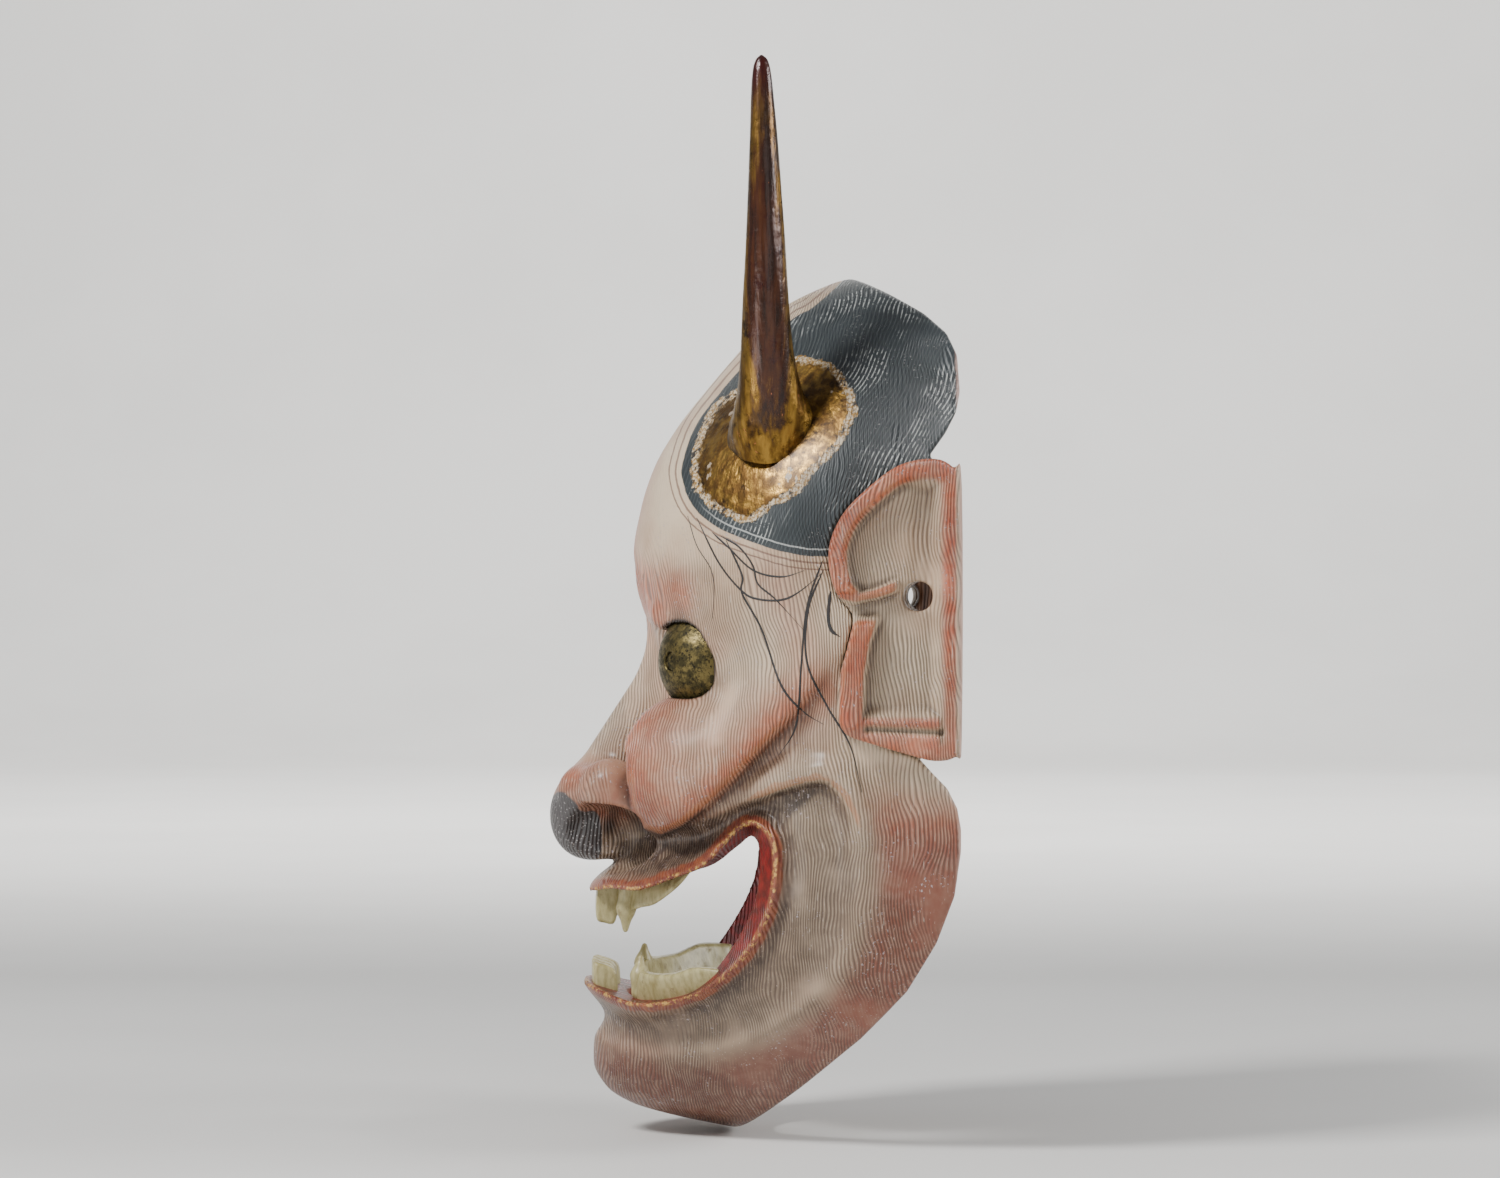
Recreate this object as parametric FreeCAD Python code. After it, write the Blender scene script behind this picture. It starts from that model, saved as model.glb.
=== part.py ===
"""Carved and painted noh mask of a horned demon.

Frame: the mask faces -Y, +Z is up and +X is the wearer's left.  The back rim lies on
y = 0 and the cord holes are at about z = 0.  All lengths are millimetres.
"""
import FreeCAD, Part
import math
import os

# ---- driving dimensions -------------------------------------------------------------
WALL = 8.0                       # thickness of the carved wood
SKIN_APEX = (0.0, 80.0, -30.0)   # the skins are star shaped about this point
SKIN_REACH = 240.0
SKIN_ANGLES = (-44.5, 44.5, -41.0, 51.5)    # degrees: right, left, down, up
HOLLOW_APEX = (0.0, 86.0, -30.0)
LAYER_ANGLES = (-40.0, 40.0, -39.0, 47.0)
FACE_AXES = ((0, -1, 0), (1, 0, 0), (0, 0, 1))
EAR_AXES = ((1, 0, 0), (0, 1, 0), (0, 0, 1))
BEYOND = 100.0                   # cutting tools run at least this far past the mask

EYE_CENTRE = (31.0, -58.0, -17.5)
EYE_AXIS = (0.6, -0.8, 0.0)      # the way the eye looks
EYE_RADIUS = 14.5                # of the dome
EYE_SEAT_RADIUS = 12.3           # of the round skirt behind the dome
EYE_SKIRT = 2.0                  # how far the skirt runs behind the dome's centre
EYE_METAL = 1.2                  # thickness of the gilt copper caps
EYE_BOSS = 4.0                   # extra wood left inside, round the eye
PUPIL_RADIUS = 2.5
TACK_RADIUS = 0.8
TACK_LENGTH = 4.5
TACK_SET_FORWARD = 1.5           # tacks sit this far in front of the dome's centre
TACK_ANGLES = [80.0, 180.0, 280.0]

NOSTRIL_OUTER = (12.0, -88.0, -61.0)
NOSTRIL_INNER = (11.0, -60.0, -56.0)
NOSTRIL_RADIUS = 4.2

EAR_SEAT = 65.5                  # flat joint face of the ears
EAR_FLOOR = 68.6
EAR_APEX = (-100.0, -16.0, -5.0)
CORD_HOLE = (69.0, -10.6, -1.7)  # outer end of the cord hole
CORD_HOLE_AXIS = (4.0, -1.0, 0.0)         # it slants back as it goes in
CORD_HOLE_RADIUS = 3.5
DOWEL_RADIUS = 1.5
DOWEL_LENGTH = 5.0
DOWEL_SPOTS = [(-20.0, 23.0), (-20.0, -33.0)]

HORN_PATH = [                    # x, y, z and radius, from the root to the tip
    (47.5, -44.5, 38.0, 9.0),
    (51.5, -45.0, 43.0, 7.8),
    (55.0, -45.5, 49.5, 6.7),
    (57.5, -46.0, 60.0, 5.8),
    (59.5, -46.2, 72.0, 5.1),
    (60.7, -46.4, 86.0, 4.4),
    (61.0, -46.7, 102.0, 3.6),
    (60.7, -47.0, 114.0, 2.9),
    (60.0, -47.2, 122.0, 2.3),
    (59.7, -47.25, 125.5, 1.5),
]
HORN_TIP = (59.5, -47.3, 127.0)
HORN_TENON_RADIUS = 4.5
TENON_OUTER = (52.0, -46.0, 41.0)
TENON_INNER = (44.5, -38.5, 35.6)
HORN_PEG_RADIUS = 1.5
HORN_PEG_LENGTH = 7.0

UPPER_FANG_ROOT = (21.0, -79.6, -72.5)
UPPER_FANG_TIP = (20.5, -80.7, -84.4)
LOWER_FANG_ROOT = (20.5, -76.4, -101.0)
LOWER_FANG_TIP = (20.0, -76.8, -89.8)
FANG_RADIUS = 2.9
FANG_TIP_RADIUS = 0.5
MOLAR_LAYER = (4.0, 9.5)         # inset below the face block, outer and inner side
INCISOR_LAYER = (-1.8, 4.5)
INCISOR_SPAN = 26.0
TOOTH_GAPS = [-7.0, 0.0, 7.0]
TOOTH_GROOVE = 1.6

# half profile of the face block: height, depth
DEPTH = [(-139, 20), (-135, 50), (-133.5, 58), (-131, 70), (-128, 80), (-124, 86), (-118, 89),
         (-108, 88), (-86, 88), (-74, 86.5), (-64, 81), (-50, 75), (-34, 72.5), (-16, 73),
         (0, 77), (9, 79), (20, 77.2), (30, 74), (40, 68.3), (50, 60.5), (60, 52), (68, 45),
         (77, 27.5), (82, 6)]
# half width of the face block: height, width
WIDTH = [(-139, 8), (-134, 19), (-129, 27), (-122, 36), (-112, 46), (-100, 56), (-86, 62),
         (-70, 65), (-50, 66), (-30, 68), (-10, 70), (10, 70), (28, 66.5), (44, 60), (58, 51),
         (68, 40), (76, 26), (82, 6)]
# roundness of the sections: height, exponent
POWER = [(-139, 2.0), (-115, 2.0), (-90, 2.35), (-40, 2.3), (20, 2.3), (50, 2.1), (82, 2.0)]

MOUTH_EDGE = [(-120, -79), (-98, -78), (-89, -74.8), (-84, -73.2), (-77, -73), (-69, -70),
              (-61, -66.5), (-55.5, -60.5), (-50.5, -56.4), (-46, -58.5), (-44.4, -65),
              (-45.8, -76), (-50.7, -86), (-58.8, -94.4), (-67, -98.8), (-77, -100.6),
              (-85, -98.8), (-91, -97), (-100, -95), (-120, -95)]
SMILE_FOLD = [(-110, -106), (-92, -108.5), (-84.5, -111.6), (-73.5, -113.2), (-60, -111.3),
              (-48.7, -106.9), (-38, -99), (-30.1, -90), (-25.3, -79), (-23.6, -67.4),
              (-25.5, -54.2), (-31.3, -46), (-40.4, -47), (-52.4, -51.8), (-64.6, -57),
              (-75, -61), (-90, -64), (-110, -64)]
# rear edge seen from the side, notched above and below the ear
REAR_EDGE = [(-200, 79), (-25, 77.5), (-16, 72), (-8, 66.7), (-2.7, 61.5), (-0.4, 56), (0, 47),
             (-1, 42), (-3.6, 37), (-7.5, 31.5), (-4, 28), (0, 23), (0, -34), (-5, -37.5),
             (-10, -40), (-6.8, -43.6), (-3.3, -47.2), (-0.9, -52), (0, -57), (0, -62),
             (-1.5, -72.7), (-5.7, -84.1), (-12.6, -96), (-23.4, -108.2), (-37.6, -121.4),
             (-51.2, -133), (-56, -137), (-200, -137)]
CHEEK_EDGE = [(-79.5, -48), (-79, -54), (-76, -58.6), (-71.5, -59.6), (-66.5, -57), (-60, -51.5),
              (-53, -44.5), (-45.5, -36), (-38, -28), (-31.5, -19), (-27, -10)]
EAR_EDGE = [(0, 24), (-2.1, 28.7), (-6.8, 30.8), (-15, 29.2), (-22.4, 23.8), (-28.5, 17.3),
            (-31.6, 9), (-30.2, -0.2), (-26, -6), (-26.7, -12), (-29, -21), (-29.5, -28.3),
            (-27.8, -34), (-22, -36.4), (-13.8, -38.8), (-6.8, -40.6), (-1.5, -39.6), (0, -35)]

# side views of the teeth, each as a closed outline of y, z
UPPER_ROW = [(-80, -70), (-80, -79.5), (-74, -78.8), (-69, -74.5), (-64.5, -69), (-62.5, -66),
             (-66, -66), (-72, -69)]
LOWER_ROW = [(-77, -103), (-77, -93.8), (-68.5, -92.4), (-62, -90.8), (-56, -91.2), (-54.5, -92),
             (-56, -97), (-63, -101)]
UPPER_INCISORS = [(-88.6, -72), (-88.3, -81), (-86.2, -82.6), (-83, -82), (-82, -72)]
LOWER_INCISORS = [(-89.8, -92), (-87.5, -92.5), (-84.5, -93.5), (-82.5, -95.5), (-83, -101),
                  (-89, -100)]


def vector(point):
    return FreeCAD.Vector(*point)


def table(points):
    """Smooth monotone curve through a list of (position, value) pairs."""
    points = sorted(points)
    spans = []
    for (a, low), (b, high) in zip(points, points[1:]):
        spans.append((high - low) / (b - a))
    slopes = [spans[0]]
    for left, right in zip(spans, spans[1:]):
        slopes.append(2 * left * right / (left + right) if left * right > 0 else 0.0)
    slopes.append(spans[-1])

    def value(at):
        """Value and slope at one position; flat beyond both ends."""
        if at <= points[0][0]:
            return points[0][1], slopes[0]
        if at >= points[-1][0]:
            return points[-1][1], slopes[-1]
        index = 0
        while points[index + 1][0] < at:
            index += 1
        (a, low), (b, high) = points[index], points[index + 1]
        width = b - a
        u = (at - a) / width
        rise = u * u * (3 - 2 * u)
        start = slopes[index] * width * u * (1 - u) ** 2
        end = slopes[index + 1] * width * u * u * (u - 1)
        slope = (6 * u * (1 - u) * (high - low) / width
                 + slopes[index] * (1 - u) * (1 - 3 * u) + slopes[index + 1] * u * (3 * u - 2))
        return low + (high - low) * rise + start + end, slope

    return value


def smooth_outline(points, steps):
    """Closed Catmull-Rom curve through the points, as a list of points."""
    count = len(points)
    result = []
    for index in range(count):
        a, b, c, d = (points[(index + shift) % count] for shift in (-1, 0, 1, 2))
        for step in range(steps):
            u = step / steps
            result.append(tuple(
                0.5 * (2 * q + (r - p) * u + (2 * p - 5 * q + 4 * r - s) * u ** 2
                       + (3 * q - p - 3 * r + s) * u ** 3)
                for p, q, r, s in zip(a, b, c, d)))
    return result


def outline_distance(outline):
    """Function of y, z: distance to a closed outline, negative inside it."""
    edges = []
    for (ay, az), (by, bz) in zip(outline, outline[1:] + outline[:1]):
        ey, ez = by - ay, bz - az
        edges.append((ay, az, by, bz, ey, ez, ey * ey + ez * ez))

    def distance(y, z):
        nearest = 1e9
        inside = False
        for ay, az, by, bz, ey, ez, square in edges:
            py, pz = y - ay, z - az
            t = (py * ey + pz * ez) / square
            t = 0.0 if t < 0 else 1.0 if t > 1 else t
            dy, dz = py - t * ey, pz - t * ez
            gap = dy * dy + dz * dz
            if gap < nearest:
                nearest = gap
            if (az > z) != (bz > z) and py < ey * pz / ez:
                inside = not inside
        nearest = math.sqrt(nearest)
        return -nearest if inside else nearest

    return distance


def blend_in(a, b, radius):
    """Union of two fields with a soft joint."""
    h = min(max(0.5 + 0.5 * (b - a) / radius, 0.0), 1.0)
    return b + (a - b) * h - radius * h * (1 - h)


def blend_out(a, b, radius):
    """Field a with field b hollowed out of it, with a soft edge."""
    return -blend_in(-a, b, radius)


def ramp(value, low, high):
    u = min(max((value - low) / (high - low), 0.0), 1.0)
    return u * u * (3 - 2 * u)


def bell(value, width):
    return math.exp(-(value / width) ** 2)


def egg(x, y, z, centre, radii):
    """Distance field of an ellipsoid."""
    scaled = [(p - c) / r for p, c, r in zip((x, y, z), centre, radii)]
    size = math.sqrt(sum(p * p for p in scaled)) + 1e-6
    slope = math.sqrt(sum((p / r) ** 2 for p, r in zip(scaled, radii))) + 1e-6
    return size * (size - 1) / slope


def stick(x, y, z, start, start_radius, end, end_radius):
    """Distance field of a round stick between two points."""
    along = [b - a for a, b in zip(start, end)]
    from_start = (x - start[0], y - start[1], z - start[2])
    length = sum(a * a for a in along)
    t = min(max(sum(p * a for p, a in zip(from_start, along)) / length, 0.0), 1.0)
    gap = math.sqrt(sum((p - t * a) ** 2 for p, a in zip(from_start, along)))
    return gap - (start_radius + (end_radius - start_radius) * t)


depth_at = table(DEPTH)
width_at = table(WIDTH)
power_at = table(POWER)
from_mouth = outline_distance(smooth_outline(MOUTH_EDGE, 3))
from_fold = outline_distance(smooth_outline(SMILE_FOLD, 3))
from_ear_edge = outline_distance(smooth_outline(EAR_EDGE, 3))


def face_block(x, y, z):
    """The plain rounded block before the features are carved: negative inside."""
    width, width_slope = width_at(z)
    depth, depth_slope = depth_at(z)
    power = power_at(z)[0]
    front = max(-y, 0.0)
    side_part = (abs(x) / width) ** power
    front_part = (front / depth) ** power
    total = side_part + front_part + 1e-9
    size = total ** (1 / power)
    radius = math.hypot(x, front)
    share = side_part / total
    slope = radius / size * (share * width_slope / width + (1 - share) * depth_slope / depth)
    return (radius - radius / size) / math.sqrt(1 + slope * slope)


def cheek_step(y, z):
    """Signed distance to the cheekbone's lower edge (above is positive) and how far along."""
    nearest = (1e9, 0.0, 0.0)
    count = len(CHEEK_EDGE) - 1
    for index, (start, end) in enumerate(zip(CHEEK_EDGE, CHEEK_EDGE[1:])):
        ey, ez = end[0] - start[0], end[1] - start[1]
        py, pz = y - start[0], z - start[1]
        t = min(max((py * ey + pz * ez) / (ey * ey + ez * ez), 0.0), 1.0)
        gap = math.hypot(py - t * ey, pz - t * ez)
        if gap < nearest[0]:
            nearest = (gap, math.copysign(gap, ey * pz - ez * py), (index + t) / count)
    return nearest[1], nearest[2]


def mouth_and_fold(y, z):
    """Cuts for the plate inside the smile fold, and the flange of the lips."""
    outside = max(from_mouth(y, z), 0.0)
    fold = from_fold(y, z)
    front = ramp(-y, 50, 84)
    crisp = ramp(z, -66, -54)
    plate = ramp(-fold, 1.6 * crisp - 2.2, 6.1 - 4.5 * crisp)
    change = (2.6 + 0.6 * crisp) * plate * ramp(-y, 16, 32)
    change -= (0.5 + 2.3 * crisp) * bell(fold - 2.4, 3.6) * ramp(-y, 14, 28)
    change -= (2.6 + 3.8 * front) * bell(outside, 2.2 + 2.6 * front)
    return change + 0.9 * bell(outside - 4.2, 2.2) * (1 - front)


def add_brow(skin, x, y, z):
    """Heavy brow, eye socket and upper lid."""
    brow = blend_in(stick(x, y, z, (9, -69.8, 1), 7, (31, -62, -1.5), 7.6),
                    stick(x, y, z, (31, -62, -1.5), 7.6, (50, -46, -5), 5), 4)
    skin = blend_in(skin, brow, 6)
    skin = blend_out(skin, egg(x, y, z, (31, -74, -19), (18, 11.5, 11)), 3)
    lid = blend_in(stick(x, y, z, (10, -72.5, -5), 2.6, (28, -70.5, -6.4), 3.2),
                   stick(x, y, z, (28, -70.5, -6.4), 3.2, (45, -56.5, -13), 2.6), 1.5)
    return blend_in(skin, lid, 3)


def add_cheek(skin, x, y, z):
    """Ball of the cheek and the ridge that runs back from it to the ear."""
    cheek = blend_in(egg(x, y, z, (34, -63, -42.5), (16, 18, 17.5)),
                     stick(x, y, z, (42, -57, -44), 12.5, (60, -27, -11), 7), 10)
    skin = blend_in(skin, cheek, 4)
    side, along = cheek_step(y, z)
    near = bell(side, 9) * ramp(-y, 22, 36) * ramp(1 - along, 0, 0.35)
    return skin + near * (2.2 * ramp(-side, -0.6, 1.2) - 1.4 * ramp(side, -0.6, 2))


def add_nose(skin, x, y, z):
    """Bridge, tip, wings and nostrils of the nose."""
    nose = blend_in(stick(x, y, z, (0, -67, -4), 8, (0, -67.3, -19), 8),
                    stick(x, y, z, (0, -67.3, -19), 8, (0, -84.5, -51), 11), 5)
    nose = blend_in(nose, egg(x, y, z, (0, -87, -55.5), (12, 12.9, 12)), 4)
    wing = blend_in(stick(x, y, z, (7, -92, -49.5), 5.2, (15.5, -84.5, -49), 6.5),
                    stick(x, y, z, (15.5, -84.5, -49), 6.5, (18.5, -76.5, -55.5), 6), 3)
    skin = blend_in(skin, blend_in(nose, wing, 3.5), 4)
    skin = blend_out(skin, egg(x, y, z, (17, -85.5, -61.5), (13, 14.5, 9)), 1.2)
    return blend_in(skin, egg(x, y, z, (0, -90.5, -58), (7, 9, 9.5)), 1.5)


def face_skin(x, y, z):
    """The carved outer skin of the mask: negative inside."""
    x = abs(x)
    skin = face_block(x, y, z) + mouth_and_fold(y, z)
    skin = add_brow(skin, x, y, z)
    skin = add_cheek(skin, x, y, z)
    skin = add_nose(skin, x, y, z)
    return skin + 1.5 * bell(x - 7.5, 2.2) * bell(z - 2, 7) * ramp(-y, 55, 65)


def hollow_field(x, y, z):
    """The inside skin, with a little more wood left round the eyes."""
    boss = EYE_BOSS * bell(abs(x) - EYE_CENTRE[0], 14) * bell(z - EYE_CENTRE[2], 14)
    return face_block(x, y, z) + WALL + boss


def ray_hit(field, apex, direction, reach):
    """Outermost point where a ray from the apex leaves the body."""
    far = reach
    for _ in range(200):
        point = [a + far * d for a, d in zip(apex, direction)]
        gap = field(*point)
        if gap < 0.02:
            break
        far -= max(0.75 * gap, 0.02)
    return vector(point)


def skin_block(field, apex, axes, angles, counts, reach):
    """Solid between an apex and the skin seen from it, on a grid of rays.

    axes are the forward, across and up unit vectors, angles the limits in degrees
    (across from, across to, up from, up to) and counts the rays across and up.
    """
    forward, across, up = axes
    rows = []
    for i in range(counts[0]):
        a = math.tan(math.radians(angles[0] + (angles[1] - angles[0]) * i / (counts[0] - 1)))
        row = []
        for j in range(counts[1]):
            b = math.tan(math.radians(angles[2] + (angles[3] - angles[2]) * j / (counts[1] - 1)))
            ray = [f + a * s + b * t for f, s, t in zip(forward, across, up)]
            length = math.sqrt(sum(r * r for r in ray))
            row.append(ray_hit(field, apex, [r / length for r in ray], reach))
        rows.append(row)
    return close_to_apex(rows, vector(apex))


def close_to_apex(rows, apex):
    """B-spline skin over rows of control points, closed by flat faces to the apex."""
    surface = Part.BSplineSurface()
    knots = [list(range(size - 2)) for size in (len(rows), len(rows[0]))]
    mults = [[4] + [1] * (len(k) - 2) + [4] for k in knots]
    surface.buildFromPolesMultsKnots(rows, mults[0], mults[1], knots[0], knots[1],
                                     False, False, 3, 3)
    skin = surface.toShape()
    faces = [skin]
    for edge in skin.Edges:
        ends = [vertex.Point for vertex in edge.Vertexes]
        sides = [Part.makeLine(apex, end) for end in ends]
        faces.append(Part.Face(Part.Wire(Part.__sortEdges__([edge] + sides))))
    shell = Part.makeShell(faces)
    shell.sewShape()
    return Part.makeSolid(shell)


def prism(outline, start, end):
    """Outline of (y, z) points extruded along X from start to end."""
    points = [FreeCAD.Vector(start, y, z) for y, z in outline]
    face = Part.Face(Part.makePolygon(points + points[:1]))
    return face.extrude(FreeCAD.Vector(end - start, 0, 0))


def smooth_prism(outline, start, end):
    """Outline of (y, z) points, rounded by a closed spline and extruded along X."""
    curve = Part.BSplineCurve()
    curve.interpolate([FreeCAD.Vector(start, y, z) for y, z in outline], PeriodicFlag=True)
    face = Part.Face(Part.Wire(curve.toShape()))
    return face.extrude(FreeCAD.Vector(end - start, 0, 0))


def rod(start, end, radius):
    start = vector(start)
    along = vector(end) - start
    return Part.makeCylinder(radius, along.Length, start, along)


def mirrored(shape):
    return shape.mirror(FreeCAD.Vector(0, 0, 0), FreeCAD.Vector(1, 0, 0))


def face_layer(inset, apex):
    """Solid of everything deeper than the given inset below the plain face block."""
    return skin_block(lambda x, y, z: face_block(x, y, z) + inset, apex, FACE_AXES, LAYER_ANGLES,
                      (31, 41), SKIN_REACH)


def nearest_to(y, z, start, end):
    """Distance in the y, z plane to the line between two points."""
    ey, ez = end[0] - start[0], end[1] - start[1]
    py, pz = y - start[0], z - start[1]
    t = min(max((py * ey + pz * ez) / (ey * ey + ez * ez), 0.0), 1.0)
    return math.hypot(py - t * ey, pz - t * ez)


def ear_height(y, z):
    """Carved relief of the ear: how far out the wood stands at a point."""
    edge = from_ear_edge(y, z)
    height = EAR_FLOOR + 3.4 * bell(edge + 3.0, 2.4)
    curl = min(nearest_to(y, z, (-24.5, -1.4), (-20, -1.8)),
               nearest_to(y, z, (-20, -1.8), (-13.5, 1.6)))
    height += 1.8 * bell(curl, 1.8)
    height -= 2.0 * bell(nearest_to(y, z, (-24, -4.8), (-15.5, -3.6)), 1.8)
    height += 2.6 * bell(nearest_to(y, z, (-22.5, -9), (-25.5, -28)), 3.2)
    height -= 1.5 * bell(nearest_to(y, z, (-15, -12), (-14, -24)), 3.6)
    return height + 1.8 * bell(nearest_to(y, z, (-24, -31), (-4, -33)), 2.6)


def make_shell(outer):
    """Hollowed face block with its mouth, nostrils, eye holes and ear seats."""
    ahead = prism(REAR_EDGE, -BEYOND, BEYOND)
    hollow = skin_block(hollow_field, HOLLOW_APEX, FACE_AXES, LAYER_ANGLES, (41, 55), SKIN_REACH)
    shell = outer.common(ahead).cut(hollow).cut(smooth_prism(MOUTH_EDGE, -BEYOND, BEYOND))
    nostril = rod(NOSTRIL_OUTER, NOSTRIL_INNER, NOSTRIL_RADIUS)
    seat = smooth_prism(EAR_EDGE, EAR_SEAT, BEYOND)
    for cutter in (nostril, eye_hole(), seat, cord_hole()):
        shell = shell.cut(cutter).cut(mirrored(cutter))
    return shell


def cord_hole():
    mouth, reach = vector(CORD_HOLE), vector(CORD_HOLE_AXIS) * CORD_HOLE_RADIUS
    return rod(mouth - reach, mouth + reach, CORD_HOLE_RADIUS)


def make_ear():
    """Carved side block with the ear relief, flat on its joint face."""
    relief = skin_block(lambda x, y, z: 0.6 * (x - ear_height(y, z)), EAR_APEX, EAR_AXES,
                        (-9, 9, -14, 14), (29, 57), 190)
    return smooth_prism(EAR_EDGE, EAR_SEAT, BEYOND).common(relief).cut(cord_hole())


def make_dowels():
    """Short bamboo pins across the flat ear joint."""
    half = DOWEL_LENGTH / 2
    pins = [rod((EAR_SEAT - half, y, z), (EAR_SEAT + half, y, z), DOWEL_RADIUS)
            for y, z in DOWEL_SPOTS]
    return Part.makeCompound(pins)


def horn_blank():
    """Tapering horn without its tenon, still running into the wood at the root."""
    stations = [(vector(p[:3]), p[3]) for p in HORN_PATH]
    wires = []
    for index, (centre, radius) in enumerate(stations):
        before = stations[max(index - 1, 0)][0]
        after = stations[min(index + 1, len(stations) - 1)][0]
        wires.append(Part.Wire(Part.makeCircle(radius, centre, after - before)))
    wires.append(Part.Vertex(vector(HORN_TIP)))
    return Part.makeLoft(wires, True, False)


def horn_tenon():
    return rod(TENON_OUTER, TENON_INNER, HORN_TENON_RADIUS)


def horn_peg():
    """Wedge pin driven into the end of the tenon from inside the mask."""
    start, end = vector(TENON_INNER), vector(TENON_OUTER)
    return Part.makeCylinder(HORN_PEG_RADIUS, HORN_PEG_LENGTH, start, end - start)


def dome(radius, seat_radius, skirt):
    """Round plug with a domed front, looking along the eye's axis."""
    centre, axis = vector(EYE_CENTRE), vector(EYE_AXIS)
    up = FreeCAD.Vector(0, 0, 1)
    rear = centre - axis * skirt
    rim = rear + up * seat_radius
    shoulder = centre + axis * math.sqrt(radius ** 2 - seat_radius ** 2) + up * seat_radius
    halfway = centre + (axis + up).normalize() * radius
    front = centre + axis * radius
    edges = [Part.makeLine(rear, rim), Part.makeLine(rim, shoulder),
             Part.Arc(shoulder, halfway, front).toShape(), Part.makeLine(front, rear)]
    return Part.Face(Part.Wire(edges)).revolve(centre, axis, 360)


def eye_hole():
    """Space of the eye cap, running right through to the inside."""
    return dome(EYE_RADIUS, EYE_SEAT_RADIUS, EYE_SEAT_RADIUS)


def make_eye():
    """Domed metal cap with the pupil hole the wearer looks through."""
    cap = dome(EYE_RADIUS, EYE_SEAT_RADIUS, EYE_SKIRT)
    inside = dome(EYE_RADIUS - EYE_METAL, EYE_SEAT_RADIUS - EYE_METAL, EYE_SKIRT)
    pupil = Part.makeCylinder(PUPIL_RADIUS, 2 * EYE_RADIUS, vector(EYE_CENTRE),
                              vector(EYE_AXIS))
    return cap.cut(inside).cut(pupil)


def make_tacks():
    """Small nails from inside the cap's skirt out into the wood round the eye."""
    axis = vector(EYE_AXIS)
    up = FreeCAD.Vector(0, 0, 1)
    side = axis.cross(up)
    middle = vector(EYE_CENTRE) + axis * TACK_SET_FORWARD
    tacks = []
    for angle in TACK_ANGLES:
        turn = math.radians(angle)
        along = side * math.cos(turn) + up * math.sin(turn)
        start = middle + along * (EYE_SEAT_RADIUS - EYE_METAL - 0.5)
        tacks.append(Part.makeCylinder(TACK_RADIUS, TACK_LENGTH, start, along))
    return Part.makeCompound(tacks)


def tooth_band(outer_inset, inner_inset):
    """Curved layer following the face, in which the teeth are carved."""
    return face_layer(outer_inset, HOLLOW_APEX).cut(face_layer(inner_inset, SKIN_APEX))


def make_incisors(band, outline, gaps):
    """Front teeth in one piece, parted by shallow grooves."""
    block = band.common(prism(outline, -INCISOR_SPAN / 2, INCISOR_SPAN / 2))
    front = min(y for y, _ in outline) - 1.0
    low = min(z for _, z in outline) - 1.0
    high = max(z for _, z in outline) + 1.0
    for x in gaps:
        block = block.cut(rod((x, front, low), (x, front, high), TOOTH_GROOVE))
    return block


def make_fang(root, tip):
    root, tip = vector(root), vector(tip)
    return Part.makeCone(FANG_RADIUS, FANG_TIP_RADIUS, (tip - root).Length, root, tip - root)


def largest(shape):
    return max(shape.Solids, key=lambda solid: solid.Volume)


def build():
    """Every piece of the mask by name."""
    outer = skin_block(face_skin, SKIN_APEX, FACE_AXES, SKIN_ANGLES, (73, 97), SKIN_REACH)
    shell = make_shell(outer)
    horn = largest(horn_blank().cut(outer)).fuse(horn_tenon()).cut(horn_peg())
    band = tooth_band(*MOLAR_LAYER)
    front_band = tooth_band(*INCISOR_LAYER)
    upper_fang = make_fang(UPPER_FANG_ROOT, UPPER_FANG_TIP)
    lower_fang = make_fang(LOWER_FANG_ROOT, LOWER_FANG_TIP)
    beside = {
        "ear": make_ear().cut(make_dowels()),
        "ear_dowels": make_dowels(),
        "horn": horn,
        "horn_peg": horn_peg(),
        "eye": make_eye().cut(make_tacks()),
        "eye_tacks": make_tacks(),
        "upper_fang": upper_fang,
        "lower_fang": lower_fang,
        "upper_molars": band.common(prism(UPPER_ROW, 1, 90)).cut(upper_fang),
        "lower_molars": band.common(prism(LOWER_ROW, 1, 90)).cut(lower_fang),
    }
    pieces = {}
    for name, shape in beside.items():
        pieces["left_" + name] = shape
        pieces["right_" + name] = mirrored(shape)
    pieces["upper_incisors"] = make_incisors(front_band, UPPER_INCISORS, TOOTH_GAPS)
    pieces["lower_incisors"] = make_incisors(front_band, LOWER_INCISORS, TOOTH_GAPS)
    for name, shape in pieces.items():
        if not name.endswith("ear"):
            shell = shell.cut(shape)
    pieces["mask_shell"] = largest(shell)
    return pieces


os.makedirs("parts", exist_ok=True)
for piece_name, piece in build().items():
    piece.exportStep("parts/" + piece_name + ".step")
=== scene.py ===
"""Noh mask of a horned demon: the painted, gilded look of every piece.

Lengths in the sculpting code are millimetres in the shared frame: the mask faces -Y, +Z is up
and +X is the wearer's left.  Meshes are scaled to metres when they are made.
"""
import math

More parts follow.
